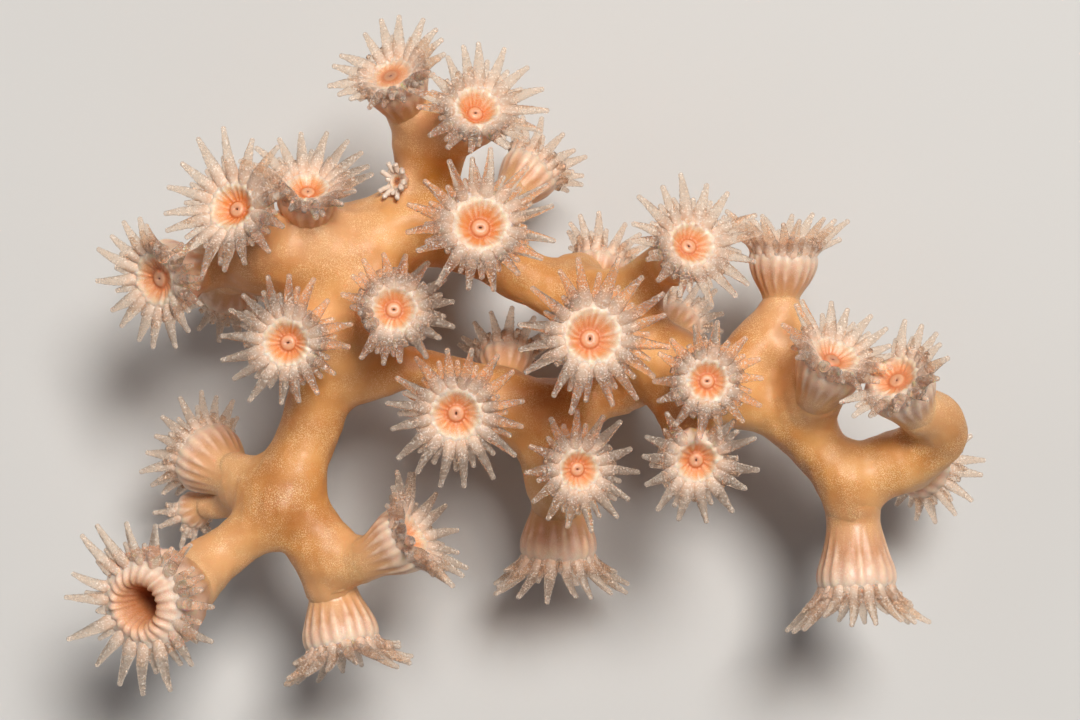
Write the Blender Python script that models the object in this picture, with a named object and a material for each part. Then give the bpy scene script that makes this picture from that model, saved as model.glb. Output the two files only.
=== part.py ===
"""A branching cold-water coral with its polyps open.

The colony stands on the flat cuts of its three hidden stems. +Z is up, away from the cuts,
and +X runs along the colony. The design is in millimetres and the meshes are in metres.
"""
import math
import random
from collections import namedtuple

import bmesh
import bpy
import numpy as np
from mathutils import Vector

# Driving dimensions, in millimetres
MM = 0.001
SEAM_GAP = 0.35           # clear space where one piece meets another
ROUTE_STEP = 0.25         # spacing of the places worked out along a route
FEWEST_STEPS = 6          # steps along even the shortest route
RING_SPACING = 2.7        # spacing of the rings of a branch or stalk
TENTACLE_CLEARANCE = 0.5  # clear space between a tentacle and anything but its own polyp
TENTACLE_WAIST = 0.36     # radius of a tentacle half way along
TIP_KNOB = 0.25           # radius of the knob at a tentacle's tip
BRANCH_SIDES = 10
ROUND_END_SLOPE = 50.0    # degrees around a round end at which its narrower ring lies
SMOOTH_ANGLE = 50.0       # degrees between faces up to which they are shaded as one
PLACES_AT_ONCE = 2000     # how many places are measured against the skin in one go
TINY = 1e-6               # keeps a division by a length of nothing from failing

# The cup of a polyp, as shares of its rim's radius
SHOULDER_BACK = 0.62
SHOULDER_WIDTH = 1.12
NECK_WIDTH = 0.76
MOUTH_RING = 0.6
MOUTH_RING_DEPTH = 0.28
TENTACLE_FOOT = 0.88
FILLING_BACK = [0.25, 0.45, SHOULDER_BACK, 0.9, 1.15]           # how far below the rim each filling ball lies
FILLING_WIDTH = [0.8, 0.98, SHOULDER_WIDTH * 0.98, 1.02, 0.9]   # and how wide it is

# How freely the tentacles of one polyp differ
AZIMUTH_WANDER = 0.2      # share of the step from one tentacle to the next
LIFT_WANDER = 9.0         # degrees
CURL_RANGE = (4.0, 34.0)  # degrees by which a tentacle bends back along its length
LENGTH_RANGE = (0.86, 1.1)
CURL_BALANCE = 0.35        # share of its length at which a bent tentacle still has its own lift
SWAY = 11.0                # degrees by which it leans to one side
PATH_STEPS = 8
WAIST_CORNERS = [(-math.sqrt(0.75), -0.5), (0.0, 1.0), (math.sqrt(0.75), -0.5)]  # sideways and up

# More lift, and share of the length, tried in turn until a tentacle is clear of everything else
RETRIES = [(0, 1.0), (14, 0.95), (-14, 0.95), (28, 0.85), (-28, 0.85), (42, 0.7), (0, 0.6), (28, 0.5)]

Branch = namedtuple("Branch", "name starts ends route")
Polyp = namedtuple("Polyp", "name rim facing radius cup_length tentacle lift tentacles stalk")

# Branches, each a route of (x, y, z, radius). A trimmed end fits the piece that it meets,
# and a ground end is sawn off level.
BRANCHES = [
    Branch("trunk", "round", "round", [
        (1.5, 3.0, 20.0, 4.2), (1.2, -0.4, 20.0, 4.4), (0.2, -4.4, 19.5, 3.7), (-1.3, -8.7, 19.5, 2.9),
        (-2.6, -12.6, 19.5, 2.75), (-3.6, -15.7, 19.5, 2.9), (-4.3, -18.6, 19.5, 3.2)]),
    Branch("main_stump", "trimmed", "ground", [
        (1.1, 0.0, 19.0, 4.0), (0.5, 0.0, 10.0, 3.8), (0.0, 0.0, 4.0, 4.4), (0.0, 0.0, 0.0, 5.0)]),
    Branch("left_arm", "trimmed", "round", [
        (1.5, 3.0, 20.0, 4.0), (-2.0, 3.9, 21.5, 3.0), (-4.8, 3.8, 22.5, 2.7)]),
    Branch("upper_branch", "trimmed", "round", [
        (1.5, 3.0, 20.0, 4.0), (4.4, 5.0, 20.0, 3.4), (7.4, 6.4, 20.0, 3.1), (10.5, 5.7, 19.5, 2.9),
        (13.6, 4.2, 19.0, 2.6), (16.8, 1.8, 19.0, 2.45)]),
    Branch("upper_branch_outer", "trimmed", "round", [
        (16.8, 1.8, 19.0, 2.45), (20.2, 0.3, 19.5, 2.4), (23.8, -1.3, 20.0, 2.8), (27.8, -4.5, 20.5, 2.7),
        (31.7, -7.4, 20.5, 2.6), (36.2, -8.9, 20.0, 2.7)]),
    Branch("top_branch", "trimmed", "round", [
        (7.4, 6.4, 20.0, 3.0), (8.1, 9.5, 19.5, 2.5), (8.5, 12.2, 20.0, 2.4), (8.5, 13.4, 20.5, 2.4)]),
    Branch("middle_stump", "trimmed", "ground", [
        (25.3, -2.6, 19.8, 2.6), (25.8, -3.7, 10.0, 2.6), (26.0, -4.0, 4.0, 3.0), (26.0, -4.0, 0.0, 3.5)]),
    Branch("lower_branch", "trimmed", "round", [
        (0.5, -5.1, 19.5, 3.2), (3.5, -6.9, 19.0, 2.1), (7.1, -6.6, 18.5, 1.75), (10.7, -8.0, 17.5, 2.1),
        (15.2, -9.6, 17.0, 2.8), (18.9, -11.4, 17.0, 3.0)]),
    Branch("lower_drop", "trimmed", "round", [
        (18.9, -11.4, 17.0, 2.9), (19.9, -15.1, 16.0, 2.6), (20.0, -16.8, 15.3, 2.4)]),
    Branch("lower_stump", "trimmed", "ground", [
        (18.9, -11.6, 17.0, 2.6), (19.0, -12.6, 9.0, 2.6), (19.0, -13.0, 4.0, 3.0), (19.0, -13.0, 0.0, 3.5)]),
    Branch("cross_link", "trimmed", "trimmed", [
        (18.9, -11.2, 16.9, 2.2), (23.1, -9.6, 16.0, 1.7), (26.4, -8.5, 17.0, 1.8), (28.8, -5.8, 19.5, 2.2)]),
    Branch("right_branch", "trimmed", "round", [
        (36.2, -8.9, 20.0, 2.7), (39.6, -9.9, 19.5, 2.7), (42.1, -11.9, 19.5, 2.65),
        (44.2, -14.5, 19.5, 2.55), (46.5, -16.3, 19.5, 2.8)]),
    Branch("right_fork_arm", "trimmed", "round", [
        (36.0, -8.3, 20.0, 2.5), (37.5, -5.4, 19.5, 2.3), (39.0, -3.8, 19.5, 2.1)]),
    Branch("far_right_arm", "trimmed", "round", [
        (46.5, -16.3, 19.5, 2.5), (49.5, -15.3, 19.5, 2.5), (52.0, -14.4, 20.0, 2.4),
        (53.7, -12.8, 21.0, 2.3)]),
    Branch("lower_fork_arm", "trimmed", "round", [
        (-4.3, -18.6, 19.5, 3.0), (-2.5, -20.8, 19.5, 2.7), (-1.3, -22.8, 19.5, 2.6)]),
]

# Polyps: the middle of the rim, the way it faces, the rim's radius, the cup's length and the tentacles'
# length, the angle at which they rise from the rim, how many long ones, and the stalk's route to the cup
POLYPS = [
    Polyp("polyp_top_left", (5.4, 19.3, 25.5), (-0.26, 0.66, 0.72), 2.5, 3.7, 3.7, 32, 16,
          [(8.5, 13.1, 20.5, 2.4), (7.6, 15.0, 21.0, 2.2)]),
    Polyp("polyp_top_right", (12.9, 16.1, 29.5), (0.2, 0.42, 0.88), 2.5, 3.7, 4.0, 26, 16,
          [(8.5, 13.1, 20.5, 2.4), (10.0, 14.4, 22.5, 2.2)]),
    Polyp("polyp_top_back", (18.0, 12.3, 10.5), (0.5, 0.62, -0.35), 2.4, 3.5, 3.3, 38, 14,
          [(12.1, 5.0, 19.0, 2.5), (14.4, 7.7, 15.5, 2.1)]),
    Polyp("polyp_top_bud", (5.6, 10.1, 22.9), (-0.66, 0.1, 0.74), 0.85, 0.9, 1.3, 35, 8,
          [(8.1, 9.6, 19.8, 1.0), (6.8, 9.8, 21.4, 0.8)]),
    Polyp("polyp_upper_front", (13.3, 5.8, 33.5), (0.12, 0.25, 0.96), 3.0, 4.5, 4.1, 22, 16,
          [(11.4, 5.5, 19.5, 2.8), (12.3, 5.6, 23.0, 2.5)]),
    Polyp("polyp_left_upper", (-8.1, 7.4, 31.0), (-0.36, 0.24, 0.9), 2.7, 3.9, 4.5, 24, 16,
          [(-4.6, 3.8, 22.4, 2.7), (-6.6, 4.4, 24.6, 2.3)]),
    Polyp("polyp_left_back", (-2.0, 9.3, 26.2), (0.06, 0.74, 0.66), 2.4, 3.2, 4.3, 30, 16,
          [(-1.7, 3.8, 21.3, 2.5), (-2.0, 5.6, 23.2, 2.1)]),
    Polyp("polyp_left_outer", (-15.4, 1.3, 25.5), (-0.6, -0.2, 0.76), 2.9, 4.2, 4.0, 24, 16,
          [(-4.5, 3.8, 22.2, 2.7), (-7.6, 3.1, 21.5, 2.3), (-10.7, 2.7, 21.3, 2.2)]),
    Polyp("polyp_left_hidden", (-10.9, 0.7, 10.5), (-0.2, -0.35, -0.9), 2.3, 3.2, 3.2, 35, 12,
          [(-3.9, 3.7, 21.8, 2.6), (-7.2, 2.4, 18.0, 2.1)]),
    Polyp("polyp_trunk_left", (-3.5, -4.3, 30.5), (-0.12, 0.0, 0.99), 2.6, 3.7, 3.7, 22, 16,
          [(-0.3, -3.1, 19.8, 3.4), (-2.5, -4.0, 22.5, 2.6)]),
    Polyp("polyp_trunk_right", (5.8, -1.4, 31.0), (0.1, 0.12, 0.98), 2.55, 3.7, 3.1, 22, 16,
          [(1.8, -1.3, 20.0, 3.6), (4.5, -1.4, 23.5, 2.5)]),
    Polyp("polyp_lower_front", (11.1, -10.5, 29.0), (0.02, -0.08, 0.99), 2.8, 4.0, 4.0, 22, 16,
          [(10.7, -8.1, 17.6, 2.1), (10.9, -9.7, 20.5, 2.2)]),
    Polyp("polyp_lower_hidden", (15.1, -5.4, 8.9), (0.0, 0.7, -0.7), 2.2, 3.0, 3.1, 42, 12,
          [(15.0, -9.4, 17.0, 2.4), (15.0, -8.9, 13.2, 2.0)]),
    Polyp("polyp_lower_right", (21.8, -15.4, 27.5), (0.25, -0.05, 0.97), 2.35, 3.4, 3.5, 24, 14,
          [(19.9, -14.6, 16.2, 2.5), (20.7, -15.1, 19.0, 2.2)]),
    Polyp("polyp_lower_bottom", (20.1, -24.2, 11.5), (0.0, -0.97, -0.12), 3.1, 4.6, 4.6, 40, 16,
          [(20.0, -16.8, 15.3, 2.4)]),
    Polyp("polyp_centre_front", (22.9, -3.7, 34.0), (0.08, 0.1, 0.99), 3.05, 4.5, 4.4, 20, 16,
          [(23.4, -1.2, 20.0, 2.7), (23.2, -2.8, 23.0, 2.6)]),
    Polyp("polyp_centre_back", (24.1, 3.7, 11.4), (0.2, 0.86, -0.4), 2.1, 3.0, 3.3, 44, 12,
          [(21.0, 0.1, 19.4, 2.3), (22.0, 2.0, 15.6, 2.0)]),
    Polyp("polyp_centre_hidden", (31.5, -2.2, 9.0), (0.35, 0.45, -0.8), 2.0, 2.8, 3.0, 35, 12,
          [(30.0, -6.0, 20.5, 2.4), (31.0, -4.9, 15.8, 2.0)]),
    Polyp("polyp_right_upper", (31.5, 4.2, 30.5), (0.22, 0.34, 0.91), 2.55, 3.8, 4.0, 22, 16,
          [(24.9, -2.0, 20.2, 2.7), (27.3, 0.8, 21.5, 2.1), (29.4, 2.7, 23.5, 2.0)]),
    Polyp("polyp_right_front", (32.9, -7.6, 30.5), (0.05, 0.08, 0.99), 2.4, 3.5, 3.2, 22, 14,
          [(33.0, -8.0, 20.5, 2.4), (33.2, -7.8, 23.0, 2.2)]),
    Polyp("polyp_right_lower", (32.0, -14.6, 29.5), (0.05, -0.18, 0.98), 2.45, 3.5, 3.4, 20, 14,
          [(30.3, -6.5, 20.5, 2.4), (30.9, -10.1, 21.5, 2.1), (31.5, -12.4, 23.5, 2.0)]),
    Polyp("polyp_right_top", (40.4, 4.2, 19.5), (0.06, 0.98, 0.1), 2.7, 4.2, 4.1, 48, 16,
          [(39.0, -3.8, 19.5, 2.1), (40.2, -1.6, 19.5, 1.7)]),
    Polyp("polyp_right_cup", (44.3, -5.5, 27.0), (0.3, 0.72, 0.62), 2.7, 4.0, 3.5, 34, 16,
          [(40.8, -10.3, 19.5, 2.5), (42.3, -9.2, 21.0, 2.4)]),
    Polyp("polyp_far_right_front", (49.4, -7.4, 28.5), (-0.42, 0.6, 0.68), 2.7, 4.0, 3.6, 30, 16,
          [(53.7, -12.8, 21.0, 2.3), (53.6, -11.1, 23.0, 2.3)]),
    Polyp("polyp_far_right_back", (54.2, -15.6, 12.9), (0.66, -0.2, -0.68), 2.7, 3.8, 3.2, 32, 14,
          [(50.3, -15.0, 19.5, 2.4), (52.3, -15.2, 16.9, 2.2)]),
    Polyp("polyp_far_right_bottom", (47.0, -26.6, 19.5), (0.05, -0.99, 0.08), 3.1, 6.2, 4.8, 42, 16,
          [(46.5, -16.3, 19.5, 2.6), (46.6, -18.9, 19.5, 2.2)]),
    Polyp("polyp_bottom_left", (-16.2, -27.1, 27.6), (-0.42, -0.12, 0.9), 4.1, 5.4, 4.4, 16, 16,
          [(-4.3, -18.6, 19.5, 2.8), (-7.3, -21.1, 19.6, 2.3), (-10.8, -23.6, 19.9, 2.3)]),
    Polyp("polyp_bottom_back", (-12.9, -14.3, 13.3), (-0.62, 0.42, -0.55), 2.9, 4.0, 3.5, 32, 16,
          [(-4.7, -17.9, 19.3, 2.7), (-7.8, -16.7, 17.6, 2.1)]),
    Polyp("polyp_bottom_small", (-14.2, -19.9, 10.8), (-0.65, -0.25, -0.7), 1.5, 2.1, 2.6, 30, 10,
          [(-8.6, -16.9, 17.0, 1.7), (-10.2, -18.9, 14.4, 1.3)]),
    Polyp("polyp_bottom_down", (0.6, -31.8, 18.6), (0.2, -0.97, 0.1), 3.0, 4.5, 4.5, 34, 16,
          [(-1.3, -22.8, 19.5, 2.5), (-0.9, -25.6, 19.5, 1.9)]),
    Polyp("polyp_bottom_right", (7.0, -21.4, 23.4), (0.83, 0.46, 0.3), 2.6, 3.9, 3.9, 34, 16,
          [(-1.4, -22.4, 19.6, 2.5), (1.3, -23.9, 20.5, 2.2)]),
]

# Bridges that grew between two finished pieces
BRIDGES = [
    Branch("right_web", "trimmed", "trimmed", [
        (39.0, -3.8, 19.5, 1.9), (41.3, -5.1, 20.5, 1.7), (43.0, -7.2, 22.5, 2.0)]),
]

# Colours, as linear red, green and blue
BRANCH_COLOUR = (0.584, 0.275, 0.095)
POLYP_COLOUR = (0.694, 0.397, 0.246)
BRANCH_ROUGHNESS = 0.55
POLYP_ROUGHNESS = 0.4


class Skin:
    """The outer surface of the pieces made so far, as overlapping balls along their routes."""

    def __init__(self):
        self.balls = np.empty((0, 4))
        self.owners = np.empty(0, dtype=object)

    def add(self, owner, balls):
        self.balls = np.vstack([self.balls, balls])
        self.owners = np.append(self.owners, [owner] * len(balls))

    def clearance(self, places, skip=()):
        """Return how far outside the nearest ball each place lies, leaving out the skipped pieces."""
        balls = self.balls[~np.isin(self.owners, list(skip))]
        if not len(balls):
            return np.full(places.shape[:-1], np.inf)
        flat = places.reshape(-1, 3)
        nearest = np.full(len(flat), np.inf)
        for start in range(0, len(flat), PLACES_AT_ONCE):
            end = start + PLACES_AT_ONCE
            offsets = flat[start:end, None, :] - balls[None, :, :3]
            distances = np.sqrt((offsets ** 2).sum(axis=2)) - balls[:, 3]
            nearest[start:end] = distances.min(axis=1)
        return nearest.reshape(places.shape[:-1])


def unit(vectors):
    vectors = np.asarray(vectors, float)
    return vectors / np.linalg.norm(vectors, axis=-1, keepdims=True)


def smooth_route(points):
    """Return closely spaced (x, y, z, radius) rows along a smooth curve through the points."""
    points = np.array(points, float)
    spans = np.linalg.norm(np.diff(points[:, :3], axis=0), axis=1)
    knots = np.concatenate([[0.0], np.cumsum(spans)])
    slopes = np.gradient(points, knots, axis=0)
    places = np.linspace(0.0, knots[-1], max(FEWEST_STEPS, round(knots[-1] / ROUTE_STEP)) + 1)
    span = np.clip(np.searchsorted(knots, places, side="right") - 1, 0, len(spans) - 1)
    length = spans[span][:, None]
    share = (places - knots[span])[:, None] / length
    return (points[span] * (2 * share ** 3 - 3 * share ** 2 + 1)
            + points[span + 1] * (3 * share ** 2 - 2 * share ** 3)
            + slopes[span] * length * (share ** 3 - 2 * share ** 2 + share)
            + slopes[span + 1] * length * (share ** 3 - share ** 2))


class Tube:
    """The places on the surface of a round stem, by their place along it and their side."""

    def __init__(self, route, sides):
        self.route = route
        self.sides = sides
        self.tangents = unit(np.gradient(route[:, :3], axis=0))
        self.firsts = self.directions_across()
        self.seconds = np.cross(self.tangents, self.firsts)
        angles = np.arange(sides) * 2 * math.pi / sides
        outward = (np.cos(angles)[None, :, None] * self.firsts[:, None, :]
                   + np.sin(angles)[None, :, None] * self.seconds[:, None, :])
        surface = route[:, None, :3] + outward * route[:, None, 3:]
        halfway = route[:, None, :3] + outward * route[:, None, 3:] / 2
        self.lines = np.concatenate([surface, halfway, route[:, None, :3]], axis=1)
        self.step = np.linalg.norm(np.diff(route[:, :3], axis=0), axis=1).mean()

    def directions_across(self):
        """Return one direction across the stem at each place, turned as little as possible."""
        helper = np.eye(3)[np.argmin(np.abs(self.tangents[0]))]
        across = [unit(helper - self.tangents[0] * helper.dot(self.tangents[0]))]
        for tangent in self.tangents[1:]:
            last = across[-1]
            across.append(unit(last - tangent * last.dot(tangent)))
        return np.array(across)

    def leaving(self, skin, to_end=True):
        """Return, for each line along the stem, the place after which it is clear of the skin."""
        places = []
        for line in skin.clearance(self.lines).T:
            near_half = len(line) if to_end else len(line) // 2
            inside = np.nonzero(line[:near_half] < SEAM_GAP)[0]
            if not len(inside):
                places.append(0.0)
                continue
            last = min(inside[-1], len(line) - 2)
            share = (SEAM_GAP - line[last]) / max(line[last + 1] - line[last], TINY)
            places.append(last + min(share, 1.0))
        if max(places) > len(self.route) - 2:
            raise ValueError("a stem starting at %s never leaves the piece that it grows from"
                             % np.round(self.route[0], 1))
        return places

    def arriving(self, skin):
        """Return, for each line along the stem, the place up to which its far half is clear."""
        half = len(self.route) // 2
        places = []
        for line in skin.clearance(self.lines).T:
            inside = np.nonzero(line[half:] < SEAM_GAP)[0]
            first = half + inside[0] if len(inside) else len(line) - 1
            share = (line[first - 1] - SEAM_GAP) / max(line[first - 1] - line[first], TINY)
            places.append(first - 1 + min(share, 1.0))
        return places

    def point(self, line, place):
        """Return the point at a place on one line: first the sides, then half way in, then the middle."""
        row = min(int(place), len(self.route) - 2)
        share = place - row
        return self.lines[row, line] * (1 - share) + self.lines[row + 1, line] * share

    def fitted_end(self, mesh, places, at_start, hollowed):
        """Add the ring that meets another piece, closed to its form, and return the ring."""
        sides = self.sides
        ring = add_ring(mesh, [self.point(line, places[line]) for line in range(sides)])
        inner = ring
        if hollowed:
            inner = add_ring(mesh, [self.point(line, places[line]) for line in range(sides, 2 * sides)])
            rings = (inner, ring) if at_start else (ring, inner)
            bridge(mesh, *rings)
        close_with_fan(mesh, inner, self.point(2 * sides, places[-1]), facing_back=at_start)
        return ring


def add_ring(mesh, points):
    return [mesh.verts.new(Vector(point)) for point in points]


def bridge(mesh, lower, upper):
    """Join two rings whose corners match, the second one further along the stem."""
    for index, corner in enumerate(lower):
        following = (index + 1) % len(lower)
        mesh.faces.new((corner, lower[following], upper[following], upper[index]))


def close_with_fan(mesh, ring, middle, facing_back=False):
    """Close a ring with triangles that meet at a middle point."""
    centre = mesh.verts.new(Vector(middle))
    for index, corner in enumerate(ring):
        following = ring[(index + 1) % len(ring)]
        corners = (following, corner, centre) if facing_back else (corner, following, centre)
        mesh.faces.new(corners)


def add_stem_start(mesh, tube, skin, to_end=True, hollowed=False):
    """Begin a stem at the piece it grows from, and return its first ring and where the ring ends."""
    places = tube.leaving(skin, to_end)
    ring = tube.fitted_end(mesh, places, at_start=True, hollowed=hollowed)
    return ring, max(places[:tube.sides])


def add_round_end(mesh, tube, at_start):
    """Add a ball-shaped end and return the ring where the straight part of the stem begins or ends."""
    row = 0 if at_start else -1
    way = -1.0 if at_start else 1.0
    middle = tube.route[row, :3]
    radius = tube.route[row, 3]
    onward = tube.tangents[row] * way
    full = tube.lines[row, :tube.sides]
    slope = math.radians(ROUND_END_SLOPE)
    narrow = middle + (full - middle) * math.cos(slope) + onward * radius * math.sin(slope)
    full_ring = add_ring(mesh, full)
    narrow_ring = add_ring(mesh, narrow)
    if at_start:
        bridge(mesh, narrow_ring, full_ring)
    else:
        bridge(mesh, full_ring, narrow_ring)
    close_with_fan(mesh, narrow_ring, middle + onward * radius, facing_back=at_start)
    return full_ring


def add_plain_rings(mesh, tube, ring, place, last_place):
    """Add evenly spaced rings up to the last place, and return the last one made."""
    length = (last_place - place) * tube.step
    count = max(1, round(length / RING_SPACING))
    for index in range(1, count + 1):
        here = place + (last_place - place) * index / count
        following = add_ring(mesh, [tube.point(line, here) for line in range(tube.sides)])
        bridge(mesh, ring, following)
        ring = following
    return ring


def branch_mesh(branch, skin):
    """Return the mesh of one branch, fitted to the pieces made before it."""
    tube = Tube(smooth_route(branch.route), BRANCH_SIDES)
    mesh = bmesh.new()
    if branch.starts == "round":
        ring = add_round_end(mesh, tube, at_start=True)
        place = 0.0
    else:
        ring, place = add_stem_start(mesh, tube, skin, branch.ends != "trimmed", hollowed=True)
    last = len(tube.route) - 1
    if branch.ends == "round":
        end_ring = add_round_end(mesh, tube, at_start=False)
        ring = add_plain_rings(mesh, tube, ring, place, last - RING_SPACING / tube.step / 2)
        bridge(mesh, ring, end_ring)
        return mesh
    if branch.ends == "trimmed":
        places = tube.arriving(skin)
        ring = add_plain_rings(mesh, tube, ring, place, min(places[:tube.sides]) - 1.0)
        bridge(mesh, ring, tube.fitted_end(mesh, places, at_start=False, hollowed=True))
        return mesh
    ring = add_plain_rings(mesh, tube, ring, place, last)
    middle = tube.route[-1, :3].copy()
    if branch.ends == "ground":
        middle[2] = 0.0
        for corner in ring:
            corner.co.z = 0.0
    close_with_fan(mesh, ring, middle)
    return mesh


def cup_frame(polyp, tube):
    """Return the rim's middle, the way the polyp faces, and two directions across its cup."""
    facing = unit(polyp.facing)
    first = tube.firsts[-1]
    first = unit(first - facing * first.dot(facing))
    return np.array(polyp.rim), facing, first, np.cross(facing, first)


def cup_route(polyp):
    """Return the stalk's route up to the neck of the cup, and balls that fill the cup."""
    rim = np.array(polyp.rim)
    facing = unit(polyp.facing)
    radius = polyp.radius
    neck = rim - facing * polyp.cup_length
    balls = [[*(rim - facing * radius * max(back, width)), radius * width]
             for back, width in zip(FILLING_BACK, FILLING_WIDTH)]
    onward = [*(neck + facing * polyp.cup_length / 2), radius * NECK_WIDTH]
    points = [*polyp.stalk, [*neck, radius * NECK_WIDTH], onward]
    route = smooth_route(points)
    beyond = np.linalg.norm(route[:, :3] - neck, axis=1).argmin()
    return route[:beyond + 1], np.array(balls)


def tentacle_plans(polyp, number):
    """Return the azimuth and the bends of each long tentacle of a polyp, as drawn for it."""
    rng = random.Random(number)
    step = 360.0 / polyp.tentacles
    plans = []
    for index in range(polyp.tentacles):
        azimuth = (index + 0.5 + rng.uniform(-AZIMUTH_WANDER, AZIMUTH_WANDER)) * step
        lift = polyp.lift + rng.uniform(-LIFT_WANDER, LIFT_WANDER)
        curl = rng.uniform(*CURL_RANGE)
        length = polyp.tentacle * rng.uniform(*LENGTH_RANGE)
        sway = rng.uniform(-SWAY, SWAY)
        plans.append((azimuth, lift, curl, length, sway))
    return plans


def tentacle_path(polyp, frame, plan):
    """Return evenly spaced points along one tentacle, from the rim to its tip."""
    rim, facing, first, second = frame
    azimuth, lift, curl, length, sway = plan
    angle = math.radians(azimuth)
    outward = first * math.cos(angle) + second * math.sin(angle)
    points = [rim + outward * polyp.radius * TENTACLE_FOOT]
    for index in range(PATH_STEPS):
        share = (index + 0.5) / PATH_STEPS
        turn = math.radians(azimuth + sway * share)
        rise = math.radians(lift - curl * (share - CURL_BALANCE))
        sideways = first * math.cos(turn) + second * math.sin(turn)
        onward = sideways * math.cos(rise) + facing * math.sin(rise)
        points.append(points[-1] + onward * length / PATH_STEPS)
    return np.array(points)


def free_tentacle(polyp, frame, plan, skin, tentacles):
    """Return the plan, changed as little as needed to keep clear of everything else, or None."""
    azimuth, lift, curl, length, sway = plan
    for more_lift, share in RETRIES:
        changed = (azimuth, lift + more_lift, curl, length * share, sway)
        places = tentacle_path(polyp, frame, changed)[1:]
        to_skin = skin.clearance(places, (polyp.name,)) - TENTACLE_WAIST
        to_tentacles = tentacles.clearance(places, (polyp.name,)) - TENTACLE_WAIST
        if min(to_skin.min(), to_tentacles.min()) > TENTACLE_CLEARANCE:
            tentacles.add(polyp.name, np.column_stack([places, np.full(len(places), TENTACLE_WAIST)]))
            return changed
    return None


def grow_tentacle(mesh, face, polyp, frame, plan):
    """Draw a tentacle out of one triangle of the rim: a waist half way, then the tip."""
    rim, facing, _, _ = frame
    path = tentacle_path(polyp, frame, plan)
    half_way = PATH_STEPS // 2
    along = unit(path[half_way + 1] - path[half_way - 1])
    across = unit(np.cross(facing, path[half_way] - rim))
    upward = np.cross(along, across)
    result = bmesh.ops.extrude_discrete_faces(mesh, faces=[face])
    waist = result["faces"][0]
    corners = sorted(waist.verts, key=lambda corner: Vector(across).dot(corner.co))
    for corner, (sideways, up) in zip(corners, WAIST_CORNERS):
        corner.co = Vector(path[half_way] + (across * sideways + upward * up) * TENTACLE_WAIST)
    tip = path[-1] + unit(path[-1] - path[-2]) * TIP_KNOB
    result = bmesh.ops.poke(mesh, faces=[waist])
    result["verts"][0].co = Vector(tip)


def polyp_mesh(polyp, number, tube, skin, all_skin, tentacles):
    """Return the mesh of a polyp: its stalk, cup, rim, mouth and long tentacles."""
    mesh = bmesh.new()
    frame = cup_frame(polyp, tube)
    rim, facing, first, second = frame
    sides = polyp.tentacles

    def cup_ring(back, width, turn, count):
        angles = (np.arange(count) + turn) * 2 * math.pi / count
        outward = np.cos(angles)[:, None] * first + np.sin(angles)[:, None] * second
        return add_ring(mesh, rim - facing * back + outward * polyp.radius * width)

    ring, place = add_stem_start(mesh, tube, skin)
    neck = add_plain_rings(mesh, tube, ring, place, len(tube.route) - 1)
    shoulder = cup_ring(polyp.radius * SHOULDER_BACK, SHOULDER_WIDTH, 0.0, sides)
    outer = cup_ring(0.0, 1.0, 0.0, sides)
    inner = cup_ring(polyp.radius * MOUTH_RING_DEPTH, MOUTH_RING, 0.5, sides)
    for index, corner in enumerate(neck):
        following = neck[(index + 1) % len(neck)]
        above = [shoulder[(2 * index + shift) % sides] for shift in range(3)]
        mesh.faces.new((corner, above[1], above[0]))
        mesh.faces.new((corner, following, above[1]))
        mesh.faces.new((following, above[2], above[1]))
    bridge(mesh, shoulder, outer)
    feet = []
    for index in range(sides):
        following = (index + 1) % sides
        feet.append(mesh.faces.new((outer[index], outer[following], inner[index])))
        mesh.faces.new((inner[index], outer[following], inner[following]))
    close_with_fan(mesh, inner, rim)
    for foot, plan in zip(feet, tentacle_plans(polyp, number)):
        plan = free_tentacle(polyp, frame, plan, all_skin, tentacles)
        if plan is not None:
            grow_tentacle(mesh, foot, polyp, frame, plan)
    return mesh


def plain_material(name, colour, roughness):
    material = bpy.data.materials.new(name)
    material.use_nodes = True
    shader = material.node_tree.nodes["Principled BSDF"]
    shader.inputs["Base Color"].default_value = (*colour, 1.0)
    shader.inputs["Roughness"].default_value = roughness
    return material


def add_object(name, mesh, colour, roughness):
    """Turn a mesh in millimetres into a named object in metres with its own material."""
    bmesh.ops.scale(mesh, vec=(MM, MM, MM), verts=mesh.verts)
    bmesh.ops.triangulate(mesh, faces=mesh.faces)
    data = bpy.data.meshes.new(name)
    mesh.to_mesh(data)
    mesh.free()
    data.shade_smooth()
    data.set_sharp_from_angle(angle=math.radians(SMOOTH_ANGLE))
    data.materials.append(plain_material(name, colour, roughness))
    piece = bpy.data.objects.new(name, data)
    bpy.context.scene.collection.objects.link(piece)


def clear_scene():
    for item in list(bpy.data.objects):
        bpy.data.objects.remove(item, do_unlink=True)


def build_colony():
    skin = Skin()
    for branch in BRANCHES:
        add_object(branch.name, branch_mesh(branch, skin), BRANCH_COLOUR, BRANCH_ROUGHNESS)
        skin.add(branch.name, smooth_route(branch.route))

    tubes = {}
    all_skin = Skin()
    all_skin.add("branches", skin.balls)
    for polyp in POLYPS:
        route, balls = cup_route(polyp)
        tubes[polyp.name] = Tube(route, polyp.tentacles // 2)
        all_skin.add(polyp.name, np.vstack([route, balls]))
    for branch in BRIDGES:
        all_skin.add(branch.name, smooth_route(branch.route))

    tentacles = Skin()
    for number, polyp in enumerate(POLYPS):
        mesh = polyp_mesh(polyp, number, tubes[polyp.name], skin, all_skin, tentacles)
        add_object(polyp.name, mesh, POLYP_COLOUR, POLYP_ROUGHNESS)
        skin.add(polyp.name, all_skin.balls[all_skin.owners == polyp.name])

    for branch in BRIDGES:
        add_object(branch.name, branch_mesh(branch, skin), BRANCH_COLOUR, BRANCH_ROUGHNESS)


clear_scene()
build_colony()
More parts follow.
